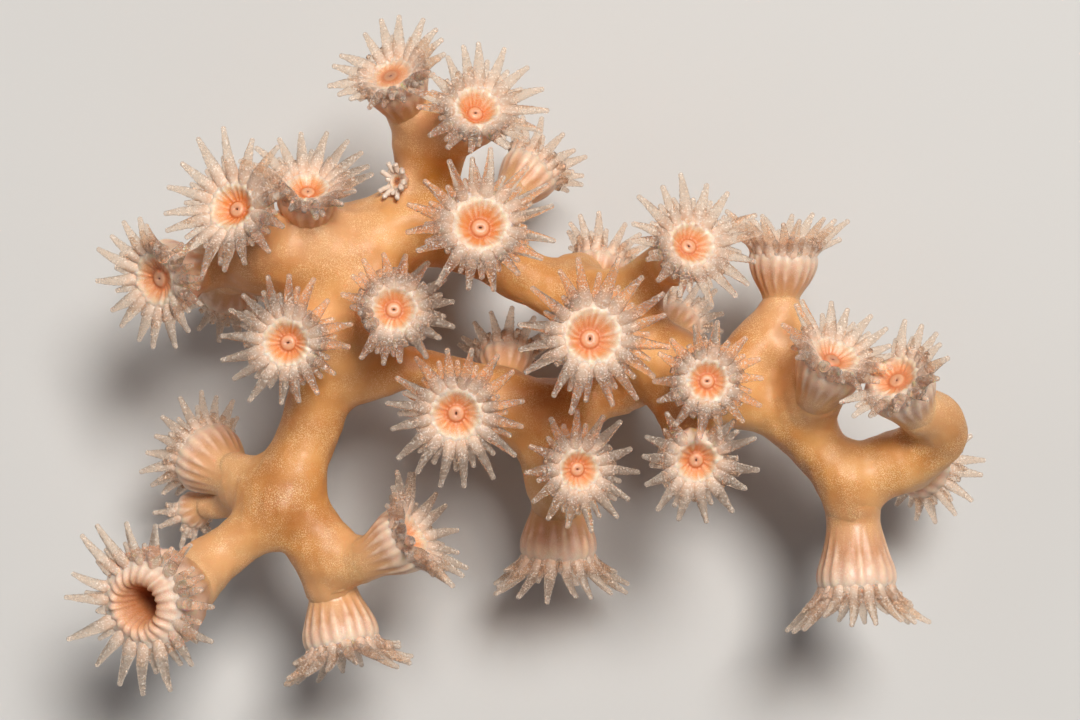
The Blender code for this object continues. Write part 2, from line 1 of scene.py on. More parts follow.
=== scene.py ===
"""The looks of a branching cold-water coral with its polyps open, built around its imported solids.

The design is in millimetres, in the frame of the solids: +Z is up, away from the cuts, and +X runs
along the colony. One smooth skin covers the branches and stalks, and each polyp is a ribbed cup with
its mouth and tentacles.
"""
import math
import random
from collections import namedtuple

import bpy
import numpy as np
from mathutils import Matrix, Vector


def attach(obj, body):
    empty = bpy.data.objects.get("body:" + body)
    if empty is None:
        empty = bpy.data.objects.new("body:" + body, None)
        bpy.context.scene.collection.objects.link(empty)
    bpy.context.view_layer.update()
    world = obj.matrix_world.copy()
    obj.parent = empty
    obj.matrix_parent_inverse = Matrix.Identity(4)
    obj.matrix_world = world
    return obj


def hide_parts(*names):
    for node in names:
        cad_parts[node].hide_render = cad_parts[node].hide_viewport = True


MM = 0.001
TURN = 2 * math.pi
WAYS = np.eye(3, dtype=int)

# Routes and free tentacles, as in the solids
ROUTE_STEP = 0.25
FEWEST_STEPS = 6
TENTACLE_CLEARANCE = 0.5
TENTACLE_WAIST = 0.36

# The cup of a polyp, as shares of its rim's radius
SHOULDER_BACK = 0.62
SHOULDER_WIDTH = 1.12
NECK_WIDTH = 0.76
TENTACLE_FOOT = 0.88
NECKS = {"polyp_right_top": 0.6}  # a neck that shows much thinner in the photograph
FILLING_BACK = [0.25, 0.45, SHOULDER_BACK, 0.9, 1.15]
FILLING_WIDTH = [0.8, 0.98, SHOULDER_WIDTH * 0.98, 1.02, 0.9]

# How freely the long tentacles of one polyp differ, in degrees and in shares of their length
AZIMUTH_WANDER = 0.2
LIFT_WANDER = 9.0
CURL_RANGE = (4.0, 34.0)
LENGTH_RANGE = (0.86, 1.1)
CURL_BALANCE = 0.35
SWAY = 11.0
PATH_STEPS = 8
RETRIES = [(0, 1.0), (14, 0.95), (-14, 0.95), (28, 0.85), (-28, 0.85), (42, 0.7), (0, 0.6), (28, 0.5)]

# From the rim in to the mouth: how far from the middle and how high above the rim
DISC = [(0.86, 0.08), (0.76, 0.1), (0.66, 0.05), (0.56, -0.05), (0.44, -0.16), (0.34, -0.24),
        (0.28, -0.25), (0.24, -0.2), (0.18, -0.16), (0.1, -0.15), (0.05, -0.165), (0.032, -0.2), (0.01, -0.3)]
# The same for a mouth that is pulled in deep, with a thick lip
DEEP_DISC = [(0.86, 0.05), (0.76, 0.12), (0.64, 0.16), (0.53, 0.13), (0.44, 0.02), (0.37, -0.18),
             (0.3, -0.42), (0.22, -0.66), (0.12, -0.82), (0.05, -0.87), (0.015, -0.89)]

# How deep a mouth is sunk, how orange it is from 0 to 1, how strongly its lip is folded, how far its
# middle lies off the cup's in x and y, how pale the rim is (a dull one has painted shade down its funnel),
# and its profile
Mouth = namedtuple("Mouth", "depth warmth folds shift paleness profile",
                   defaults=[1.0, 0.5, 0.0, (0.0, 0.0), 1.0, DISC])
Polyp = namedtuple("Polyp", "name rim facing radius cup_length tentacle lift tentacles stalk mouth",
                   defaults=[Mouth()])
POLYP_MARKS = ["place", "ridge", "warmth", "paleness", "bare"]

# Branches by name, each a route of (x, y, z, radius)
BRANCHES = {
    "trunk": [
        (1.5, 3.0, 20.0, 4.2), (1.2, -0.4, 20.0, 4.4), (0.2, -4.4, 19.5, 3.7), (-1.3, -8.7, 19.5, 2.9),
        (-2.6, -12.6, 19.5, 2.75), (-3.6, -15.7, 19.5, 2.9), (-4.3, -18.6, 19.5, 3.2)],
    "main_stump": [
        (1.1, 0.0, 19.0, 4.0), (0.5, 0.0, 10.0, 3.8), (0.0, 0.0, 4.0, 4.4), (0.0, 0.0, 0.0, 5.0)],
    "left_arm": [
        (1.5, 3.0, 20.0, 4.0), (-2.0, 3.9, 21.5, 3.0), (-4.8, 3.8, 22.5, 2.7)],
    "upper_branch": [
        (1.5, 3.0, 20.0, 4.0), (4.4, 5.0, 20.0, 3.4), (7.4, 6.4, 20.0, 3.1), (10.5, 5.7, 19.5, 2.9),
        (13.6, 4.2, 19.0, 2.6), (16.8, 1.8, 19.0, 2.45)],
    "upper_branch_outer": [
        (16.8, 1.8, 19.0, 2.45), (20.2, 0.3, 19.5, 2.4), (23.8, -1.3, 20.0, 2.8), (27.8, -4.5, 20.5, 2.7),
        (31.7, -7.4, 20.5, 2.6), (36.2, -8.9, 20.0, 2.7)],
    "top_branch": [
        (7.4, 6.4, 20.0, 3.0), (8.1, 9.5, 19.5, 2.5), (8.5, 12.2, 20.0, 2.4), (8.5, 13.4, 20.5, 2.4)],
    "middle_stump": [
        (25.3, -2.6, 19.8, 2.6), (25.8, -3.7, 10.0, 2.6), (26.0, -4.0, 4.0, 3.0), (26.0, -4.0, 0.0, 3.5)],
    "lower_branch": [
        (0.5, -5.1, 19.5, 3.2), (3.5, -6.9, 19.0, 2.1), (7.1, -6.6, 18.5, 1.75), (10.7, -8.0, 17.5, 2.1),
        (15.2, -9.6, 17.0, 2.8), (18.9, -11.4, 17.0, 3.0)],
    "lower_drop": [
        (18.9, -11.4, 17.0, 2.9), (19.9, -15.1, 16.0, 2.6), (20.0, -16.8, 15.3, 2.4)],
    "lower_stump": [
        (18.9, -11.6, 17.0, 2.6), (19.0, -12.6, 9.0, 2.6), (19.0, -13.0, 4.0, 3.0), (19.0, -13.0, 0.0, 3.5)],
    "cross_link": [
        (18.9, -11.2, 16.9, 2.2), (23.1, -9.6, 16.0, 1.7), (26.4, -8.5, 17.0, 1.8), (28.8, -5.8, 19.5, 2.2)],
    "right_branch": [
        (36.2, -8.9, 20.0, 2.7), (39.6, -9.9, 19.5, 2.7), (42.1, -11.9, 19.5, 2.65),
        (44.2, -14.5, 19.5, 2.55), (46.5, -16.3, 19.5, 2.8)],
    "right_fork_arm": [
        (36.0, -8.3, 20.0, 2.5), (37.5, -5.4, 19.5, 2.3), (39.0, -3.8, 19.5, 2.1)],
    "far_right_arm": [
        (46.5, -16.3, 19.5, 2.5), (49.5, -15.3, 19.5, 2.5), (52.0, -14.4, 20.0, 2.4),
        (53.7, -12.8, 21.0, 2.3)],
    "lower_fork_arm": [
        (-4.3, -18.6, 19.5, 3.0), (-2.5, -20.8, 19.5, 2.7), (-1.3, -22.8, 19.5, 2.6)],
    "right_web": [
        (39.0, -3.8, 19.5, 1.9), (41.3, -5.1, 20.5, 1.7), (43.0, -7.2, 22.5, 2.0)],
}

# Polyps: the middle of the rim, the way it faces, the rim's radius, the cup's length and the tentacles'
# length, the angle at which they rise from the rim, how many long ones, the stalk's route to the cup,
# and the mouth, where it isn't the usual one
POLYPS = [
    Polyp("polyp_top_left", (5.4, 19.3, 25.5), (-0.26, 0.66, 0.72), 2.5, 3.7, 3.7, 32, 16,
          [(8.5, 13.1, 20.5, 2.4), (7.6, 15.0, 21.0, 2.2)], Mouth(0.2, 0.1, 0.2, (-0.1, 0.05), 0.6)),
    Polyp("polyp_top_right", (12.9, 16.1, 29.5), (0.2, 0.42, 0.88), 2.5, 3.7, 4.0, 26, 16,
          [(8.5, 13.1, 20.5, 2.4), (10.0, 14.4, 22.5, 2.2)], Mouth(1.3, 0.75, 0.6, (0.0, -0.08))),
    Polyp("polyp_top_back", (18.0, 12.3, 10.5), (0.5, 0.62, -0.35), 2.4, 3.5, 3.3, 38, 14,
          [(12.1, 5.0, 19.0, 2.5), (14.4, 7.7, 15.5, 2.1)]),
    Polyp("polyp_top_bud", (5.6, 10.1, 22.9), (-0.66, 0.1, 0.74), 0.85, 0.9, 1.3, 35, 8,
          [(8.1, 9.6, 19.8, 1.0), (6.8, 9.8, 21.4, 0.8)], Mouth(0.5, 0.8, 0.0, (0.0, 0.0), 0.3)),
    Polyp("polyp_upper_front", (13.3, 5.8, 33.5), (0.12, 0.25, 0.96), 3.0, 4.5, 4.1, 22, 16,
          [(11.4, 5.5, 19.5, 2.8), (12.3, 5.6, 23.0, 2.5)], Mouth(1.0, 0.95, 0.1, (0.02, -0.04))),
    Polyp("polyp_left_upper", (-8.1, 7.4, 31.0), (-0.36, 0.24, 0.9), 2.7, 3.9, 4.5, 24, 16,
          [(-4.6, 3.8, 22.4, 2.7), (-6.6, 4.4, 24.6, 2.3)], Mouth(1.2, 1.0, 0.2, (0.02, 0.0))),
    Polyp("polyp_left_back", (-2.0, 9.3, 26.2), (0.06, 0.74, 0.66), 2.4, 3.2, 4.3, 30, 16,
          [(-1.7, 3.8, 21.3, 2.5), (-2.0, 5.6, 23.2, 2.1)], Mouth(0.8, 0.65, 0.2)),
    Polyp("polyp_left_outer", (-15.4, 1.3, 25.5), (-0.6, -0.2, 0.76), 2.9, 4.2, 4.0, 24, 16,
          [(-4.5, 3.8, 22.2, 2.7), (-7.6, 3.1, 21.5, 2.3), (-10.7, 2.7, 21.3, 2.2)], Mouth(0.6, 0.35, 0.2)),
    Polyp("polyp_left_hidden", (-10.9, 0.7, 10.5), (-0.2, -0.35, -0.9), 2.3, 3.2, 3.2, 35, 12,
          [(-3.9, 3.7, 21.8, 2.6), (-7.2, 2.4, 18.0, 2.1)]),
    Polyp("polyp_trunk_left", (-3.5, -4.3, 30.5), (-0.12, 0.0, 0.99), 2.6, 3.7, 3.7, 22, 16,
          [(-0.3, -3.1, 19.8, 3.4), (-2.5, -4.0, 22.5, 2.6)], Mouth(1.0, 0.85, 0.3)),
    Polyp("polyp_trunk_right", (5.8, -1.4, 31.0), (0.1, 0.12, 0.98), 2.55, 3.7, 3.1, 22, 16,
          [(1.8, -1.3, 20.0, 3.6), (4.5, -1.4, 23.5, 2.5)], Mouth(0.8, 0.6, 0.1)),
    Polyp("polyp_lower_front", (11.1, -10.5, 29.0), (0.02, -0.08, 0.99), 2.8, 4.0, 4.0, 22, 16,
          [(10.7, -8.1, 17.6, 2.1), (10.9, -9.7, 20.5, 2.2)], Mouth(0.9, 0.6, 0.3)),
    Polyp("polyp_lower_hidden", (15.1, -5.4, 8.9), (0.0, 0.7, -0.7), 2.2, 3.0, 3.1, 42, 12,
          [(15.0, -9.4, 17.0, 2.4), (15.0, -8.9, 13.2, 2.0)]),
    Polyp("polyp_lower_right", (21.8, -15.4, 27.5), (0.25, -0.05, 0.97), 2.35, 3.4, 3.5, 24, 14,
          [(19.9, -14.6, 16.2, 2.5), (20.7, -15.1, 19.0, 2.2)]),
    Polyp("polyp_lower_bottom", (20.1, -24.2, 11.5), (0.0, -0.97, -0.12), 3.1, 4.6, 4.6, 40, 16,
          [(20.0, -16.8, 15.3, 2.4)]),
    Polyp("polyp_centre_front", (22.9, -3.7, 34.0), (0.08, 0.1, 0.99), 3.05, 4.5, 4.4, 20, 16,
          [(23.4, -1.2, 20.0, 2.7), (23.2, -2.8, 23.0, 2.6)], Mouth(1.0, 0.55, 0.1, (-0.06, -0.08))),
    Polyp("polyp_centre_back", (24.1, 3.7, 11.4), (0.2, 0.86, -0.4), 2.1, 3.0, 3.3, 44, 12,
          [(21.0, 0.1, 19.4, 2.3), (22.0, 2.0, 15.6, 2.0)]),
    Polyp("polyp_centre_hidden", (31.5, -2.2, 9.0), (0.35, 0.45, -0.8), 2.0, 2.8, 3.0, 35, 12,
          [(30.0, -6.0, 20.5, 2.4), (31.0, -4.9, 15.8, 2.0)]),
    Polyp("polyp_right_upper", (31.5, 4.2, 30.5), (0.22, 0.34, 0.91), 2.55, 3.8, 4.0, 22, 16,
          [(24.9, -2.0, 20.2, 2.7), (27.3, 0.8, 21.5, 2.1), (29.4, 2.7, 23.5, 2.0)],
          Mouth(0.9, 0.45, 0.1, (-0.05, 0.0))),
    Polyp("polyp_right_front", (32.9, -7.6, 30.5), (0.05, 0.08, 0.99), 2.4, 3.5, 3.2, 22, 14,
          [(33.0, -8.0, 20.5, 2.4), (33.2, -7.8, 23.0, 2.2)]),
    Polyp("polyp_right_lower", (32.0, -14.6, 29.5), (0.05, -0.18, 0.98), 2.45, 3.5, 3.4, 20, 14,
          [(30.3, -6.5, 20.5, 2.4), (30.9, -10.1, 21.5, 2.1), (31.5, -12.4, 23.5, 2.0)]),
    Polyp("polyp_right_top", (40.4, 4.2, 19.5), (0.06, 0.98, 0.1), 2.7, 4.2, 4.1, 48, 16,
          [(39.0, -3.8, 19.5, 2.1), (40.2, -1.6, 19.5, 1.7)]),
    Polyp("polyp_right_cup", (44.3, -5.5, 27.0), (0.3, 0.72, 0.62), 2.7, 4.0, 3.5, 34, 16,
          [(40.8, -10.3, 19.5, 2.5), (42.3, -9.2, 21.0, 2.4)], Mouth(0.9, 0.15, 0.2, (0.0, 0.05), 0.7)),
    Polyp("polyp_far_right_front", (49.4, -7.4, 28.5), (-0.42, 0.6, 0.68), 2.7, 4.0, 3.6, 30, 16,
          [(53.7, -12.8, 21.0, 2.3), (53.6, -11.1, 23.0, 2.3)], Mouth(0.5, 0.3, 0.4)),
    Polyp("polyp_far_right_back", (54.2, -15.6, 12.9), (0.66, -0.2, -0.68), 2.7, 3.8, 3.2, 32, 14,
          [(50.3, -15.0, 19.5, 2.4), (52.3, -15.2, 16.9, 2.2)]),
    Polyp("polyp_far_right_bottom", (47.0, -26.6, 19.5), (0.05, -0.99, 0.08), 3.1, 6.2, 4.8, 42, 16,
          [(46.5, -16.3, 19.5, 2.6), (46.6, -18.9, 19.5, 2.2)]),
    Polyp("polyp_bottom_left", (-16.2, -27.1, 27.6), (-0.42, -0.12, 0.9), 4.1, 5.4, 4.4, 16, 16,
          [(-4.3, -18.6, 19.5, 2.8), (-7.3, -21.1, 19.6, 2.3), (-10.8, -23.6, 19.9, 2.3)],
          Mouth(1.0, 0.7, 1.0, (-0.15, -0.04), 0.1, DEEP_DISC)),
    Polyp("polyp_bottom_back", (-12.9, -14.3, 13.3), (-0.62, 0.42, -0.55), 2.9, 4.0, 3.5, 32, 16,
          [(-4.7, -17.9, 19.3, 2.7), (-7.8, -16.7, 17.6, 2.1)]),
    Polyp("polyp_bottom_small", (-14.2, -19.9, 10.8), (-0.65, -0.25, -0.7), 1.5, 2.1, 2.6, 30, 10,
          [(-8.6, -16.9, 17.0, 1.7), (-10.2, -18.9, 14.4, 1.3)]),
    Polyp("polyp_bottom_down", (0.6, -31.8, 18.6), (0.2, -0.97, 0.1), 3.0, 4.5, 4.5, 34, 16,
          [(-1.3, -22.8, 19.5, 2.5), (-0.9, -25.6, 19.5, 1.9)]),
    Polyp("polyp_bottom_right", (7.0, -21.4, 23.4), (0.83, 0.46, 0.3), 2.6, 3.9, 3.9, 34, 16,
          [(-1.4, -22.4, 19.6, 2.5), (1.3, -23.9, 20.5, 2.2)]),
]

# The skin over branches and stalks
GRID_STEP = 0.33  # spacing of the grid that the skin is worked out on
GRID_MARGIN = 4.0
GRID_END = 1.001  # how far inside the grid's last corner places are kept, in steps
SMALLEST = 1e-6  # what a divisor is at least
REACH = 3.8  # how far outside a piece its distances are worked out
BRANCH_WEB = 3.4  # how widely one branch is webbed to the next
STALK_WEB = 2.6  # how widely a stalk is webbed to its branch,
WEB_TO_RADIUS = 1.1  # and how widely at most, as a share of the polyp's radius
SLIM_WEBS = {"polyp_bottom_down": 1.7, "polyp_bottom_right": 1.8}  # forks that show narrower
START_TAPER = 0.8  # share of its width at which a piece starts inside the one that carries it
START_TAPER_LENGTH = 3.0
STALK_END_BACK = 0.45  # how far below the neck a stalk's skin ends in the cup, as a share of the radius
FEWEST_ROWS = 3
WAVES = (5.0, 0.1)  # spacing and height of the slow swells of the skin, and of the finer lumps on it
LUMPS = (1.6, 0.03)
SWELL_WAVES = 9  # how many waves make up such swells, and how their spacing differs
SWELL_SPREAD = (0.7, 1.5)
CUP_TONE = (3.4, 1.6)  # where the skin takes on a cup's tone, in radii from the rim's middle
YELLOW_PLACE = (8.3, 10.5, 20.0)  # the middle and size of the yellower skin of the top branch
YELLOW_SIZE = (4.5, 5.0, 6.0)

# Cups. Unless it says otherwise, lengths are shares of the rim's radius: on the wall they are measured
# down from the rim, and on the disc outward from its middle. Heights are in millimetres on a cup of the
# usual radius.
USUAL_RADIUS = 2.7
CUP_SIDES = 96
POLYP_SEED = 1000
WALL = [(0.92, 1.0), (0.62, 1.1), (0.4, 1.13), (0.2, 1.11), (0.05, 1.05), (-0.07, 0.95)]  # (down, width)
WALL_ROWS = 12
SIDE_ROWS = 60  # rows of the curve that leads from the neck to the wall
EMERGE_ROWS = 12
EMERGE_BACK = 1.1  # how far below the neck the wall begins,
ROUTE_LEFT = 0.8  # and how many millimetres of the stalk's route lie below it at least
NECK_TOP = 0.15
SUNK = 0.16  # how many millimetres under the stalk's skin the wall begins
SINKING = (0.2, 1.0)  # where it sinks, below the neck
FOLLOWING = (-0.25, 0.75)  # where the wall turns from its own width to the skin's, below the neck
SEARCHED = (0.4, 1.5, 24)  # where and in how many steps the skin is looked for, in expected distances
WIDEST_FOLLOWED = 1.12  # how wide a skin the wall follows, as a share of the neck's width
BARE_FROM_SKIN = 0.35  # how far out of the skin the wall has its own colour
NECK_FADE = 0.9  # how far above the neck it has its own colour
NECK_STREAKS = 0.5  # how much nearer the neck the ribs keep it

RIBS_PER_TENTACLE = 1.15
RIB_HEIGHT = 0.19
RIB_WANDER = [(0.6, 3), (0.4, 7)]  # the waves around the cup that make the ribs' spacing uneven
RIB_STRENGTH = (0.55, 1.15)
RIB_LEVEL = 0.35  # how much of a rib's height is taken off between ribs
RIB_FADE = (1.45, 2.3)  # where a rib ends
RIBS_BELOW_NECK = 0.3  # and how far below the neck at most
FADE_LENGTH = 0.9
RIB_SHARPNESS = 0.8  # the power of a rib's wave at the rim, how it grows further down, and from where
RIB_SHARPENING = 1.8
RIB_SHARPENS_FROM = 0.6
GRANULES_FROM = 0.3
GRANULES = (0.75, 0.06)  # their spacing and height in millimetres

DISC_ROWS = 22
STREAK_HEIGHT = 0.09  # pale streaks that run in from the rim towards the mouth
STREAK_WIDTH = 0.1
STREAKS_MORE = 10  # how many more streaks there are than ribs
STREAK_PALENESS = (0.2, 1.0)
MOSTLY_FAINT = 1.3  # the power that makes more of them faint
STREAK_START = (0.26, 0.56)
STREAK_RISE = 0.15
STREAK_END = (0.68, 0.88)
FOLD_HEIGHT = 0.16  # fine folds of a thick lip
FOLDS_PER_RIB = 1.15
FOLDS = (0.24, 0.44, 0.8, 1.0)  # where folds begin, are full, begin to fade and end
FOLD_TWIST = 2.0
LOBE_HEIGHT = 0.13  # soft folds of the funnel, one for each long tentacle
FUNNEL = (0.24, 0.38, 0.56, 0.86)
LOBE_WANDER = [(0.7, 2, 1), (0.5, 5, -1)]  # the waves around the funnel that make their spacing uneven
LOBE_CHANGE = 0.3  # how much smaller some are, and how often around the funnel
LOBE_CHANGES = 4
LOBE_LEVEL = 0.4
LOBE_TWIST = 1.5
RIDGE_OF_FOLDS = 0.55  # how pale folds and lobes are, compared with streaks
MOUTH_SHIFTED = (0.9, 0.3)
SLIT = 0.25  # how much narrower than long the mouth is
SLIT_WITHIN = (0.2, 0.1)
DISC_GRANULES = (0.5, 0.7)

# Tentacles, in millimetres
LONG_SIDES = 12
LONG_RINGS = 33
SHORT_SIDES = 8
SHORT_RINGS = 17
LONG_BASE = 0.72  # radius of a long tentacle where it leaves the rim, and how it differs
LONG_BASES = (0.85, 1.08)
SHORT_BASE = 0.56
SHORT_BASES = (0.8, 1.1)
FULL_SIZE_FROM = 2.4  # the radius of a cup from which its tentacles are fully thick
TIP = 0.2
KNOB = 0.25
KNOB_LENGTH = 0.22
KNOB_LEANS = (30, 60, 85)
TAPER = 0.9
ROOT_ACROSS = 0.66  # where a tentacle's root lies under the disc, as shares of the rim's radius
ROOT_DEPTH = 0.26
ROOT_WIDTH = 0.6
FOOT_DIP = 0.35  # how much lower than the rim a tentacle leaves it
SHORTENED = 0.26  # how much shorter than the solid's spike a tentacle ends, with its knob
WART_PITCH = 0.42
WART_HEIGHT = 0.07
THIN_WARTS = 0.6  # how high they are on the thinnest flesh, as a share
WART_SHIFTS = (0, 0.3)
WART_SIZES = (0.1, 1.0)
WART_LEVEL = 0.3
SMOOTH_END = (0.2, 0.5)  # how far from the tip warts begin and are full
SHORT_SHARE = (0.34, 0.66)  # length of the short tentacles, as a share of the long ones'
SHORT_TURN = (0.42, 0.58)  # where they stand between two long ones
SHORT_DROP = 12.0  # degrees by which they lie flatter, and how that differs
SHORT_WANDER = 8
SHORT_CURL = 0.6
SHORT_FOOT = 0.94
BUD_RADIUS = 1.7  # cups narrower than this are young, with fleshier tentacles


class Skin:
    """The outer surface of the pieces made so far, as overlapping balls along their routes."""

    def __init__(self):
        self.balls = np.empty((0, 4))
        self.owners = np.empty(0, dtype=object)

    def add(self, owner, balls):
        self.balls = np.vstack([self.balls, balls])
        self.owners = np.append(self.owners, [owner] * len(balls))

    def clearance(self, places, skipped):
        """Return how far outside the nearest ball each place lies, leaving out one piece's own."""
        balls = self.balls[self.owners != skipped]
        distances = np.sqrt(((places[:, None, :] - balls[:, :3]) ** 2).sum(axis=2)) - balls[:, 3]
        return distances.min(axis=1, initial=np.inf)


def unit(vectors):
    vectors = np.asarray(vectors, float)
    return vectors / np.linalg.norm(vectors, axis=-1, keepdims=True)


def through(points, places):
    """Return rows along a smooth curve through the points, at places worked out from its length."""
    points = np.array(points, float)
    spans = np.linalg.norm(np.diff(points[:, :3], axis=0), axis=1)
    knots = np.concatenate([[0.0], np.cumsum(spans)])
    slopes = np.gradient(points, knots, axis=0)
    places = places(knots[-1])
    span = np.clip(np.searchsorted(knots, places, side="right") - 1, 0, len(spans) - 1)
    length = spans[span][:, None]
    share = (places - knots[span])[:, None] / length
    return (points[span] * (2 * share ** 3 - 3 * share ** 2 + 1)
            + points[span + 1] * (3 * share ** 2 - 2 * share ** 3)
            + slopes[span] * length * (share ** 3 - 2 * share ** 2 + share)
            + slopes[span + 1] * length * (share ** 3 - share ** 2))


def lengths_along(points):
    """Return how far along a line each of its points lies."""
    return np.concatenate([[0.0], np.cumsum(np.linalg.norm(np.diff(points[:, :3], axis=0), axis=1))])


def smooth_route(points):
    """Return closely spaced (x, y, z, radius) rows along a smooth curve through the points."""
    def places(length):
        return np.linspace(0.0, length, max(FEWEST_STEPS, round(length / ROUTE_STEP)) + 1)
    return through(points, places)


def directions_across(tangents):
    """Return one direction across a stem at each place, turned as little as possible."""
    helper = np.eye(3)[np.argmin(np.abs(tangents[0]))]
    across = [unit(helper - tangents[0] * helper.dot(tangents[0]))]
    for tangent in tangents[1:]:
        last = across[-1]
        across.append(unit(last - tangent * last.dot(tangent)))
    return np.array(across)


def cup_route(polyp):
    """Return the stalk's route up to the neck of the cup, and balls that fill the cup."""
    rim = np.array(polyp.rim)
    facing = unit(polyp.facing)
    radius = polyp.radius
    neck = rim - facing * polyp.cup_length
    balls = [[*(rim - facing * radius * max(back, width)), radius * width]
             for back, width in zip(FILLING_BACK, FILLING_WIDTH)]
    neck_radius = radius * NECKS.get(polyp.name, NECK_WIDTH)
    onward = [*(neck + facing * polyp.cup_length / 2), neck_radius]
    route = smooth_route([*polyp.stalk, [*neck, neck_radius], onward])
    beyond = np.linalg.norm(route[:, :3] - neck, axis=1).argmin()
    return route[:beyond + 1], np.array(balls)


def cup_frame(polyp, route):
    """Return the rim's middle, the way the polyp faces, and two directions across its cup."""
    facing = unit(polyp.facing)
    tangents = unit(np.gradient(route[:, :3], axis=0))
    first = directions_across(tangents)[-1]
    first = unit(first - facing * first.dot(facing))
    return np.array(polyp.rim), facing, first, np.cross(facing, first)


def tentacle_plans(polyp, number):
    """Return the azimuth and the bends of each long tentacle of a polyp, as drawn for it."""
    rng = random.Random(number)
    step = 360.0 / polyp.tentacles
    plans = []
    for index in range(polyp.tentacles):
        azimuth = (index + 0.5 + rng.uniform(-AZIMUTH_WANDER, AZIMUTH_WANDER)) * step
        lift = polyp.lift + rng.uniform(-LIFT_WANDER, LIFT_WANDER)
        curl = rng.uniform(*CURL_RANGE)
        length = polyp.tentacle * rng.uniform(*LENGTH_RANGE)
        sway = rng.uniform(-SWAY, SWAY)
        plans.append((azimuth, lift, curl, length, sway))
    return plans


def tentacle_path(polyp, frame, plan, foot=TENTACLE_FOOT):
    """Return evenly spaced points along one tentacle, from the rim to its tip."""
    rim, facing, first, second = frame
    azimuth, lift, curl, length, sway = plan
    angle = math.radians(azimuth)
    outward = first * math.cos(angle) + second * math.sin(angle)
    points = [rim + outward * polyp.radius * foot]
    for index in range(PATH_STEPS):
        share = (index + 0.5) / PATH_STEPS
        turn = math.radians(azimuth + sway * share)
        rise = math.radians(lift - curl * (share - CURL_BALANCE))
        sideways = first * math.cos(turn) + second * math.sin(turn)
        onward = sideways * math.cos(rise) + facing * math.sin(rise)
        points.append(points[-1] + onward * length / PATH_STEPS)
    return np.array(points)


def free_tentacle(polyp, frame, plan, skin, tentacles):
    """Return the plan, changed as little as needed to keep clear of everything else, or None."""
    azimuth, lift, curl, length, sway = plan
    for more_lift, share in RETRIES:
        changed = (azimuth, lift + more_lift, curl, length * share, sway)
        places = tentacle_path(polyp, frame, changed)[1:]
        to_skin = skin.clearance(places, polyp.name) - TENTACLE_WAIST
        to_tentacles = tentacles.clearance(places, polyp.name) - TENTACLE_WAIST
        if min(to_skin.min(), to_tentacles.min()) > TENTACLE_CLEARANCE:
            tentacles.add(polyp.name, np.column_stack([places, np.full(len(places), TENTACLE_WAIST)]))
            return changed
    return None


def swells(places, size, height, seed):
    """Return smooth irregular heights that vary over the given distance."""
    rng = np.random.default_rng(seed)
    heights = np.zeros(len(places))
    for _ in range(SWELL_WAVES):
        way = unit(rng.normal(size=3)) * rng.uniform(*SWELL_SPREAD) * TURN / size
        heights += np.sin(places @ way + rng.uniform(0, TURN))
    return height * heights / math.sqrt(SWELL_WAVES)


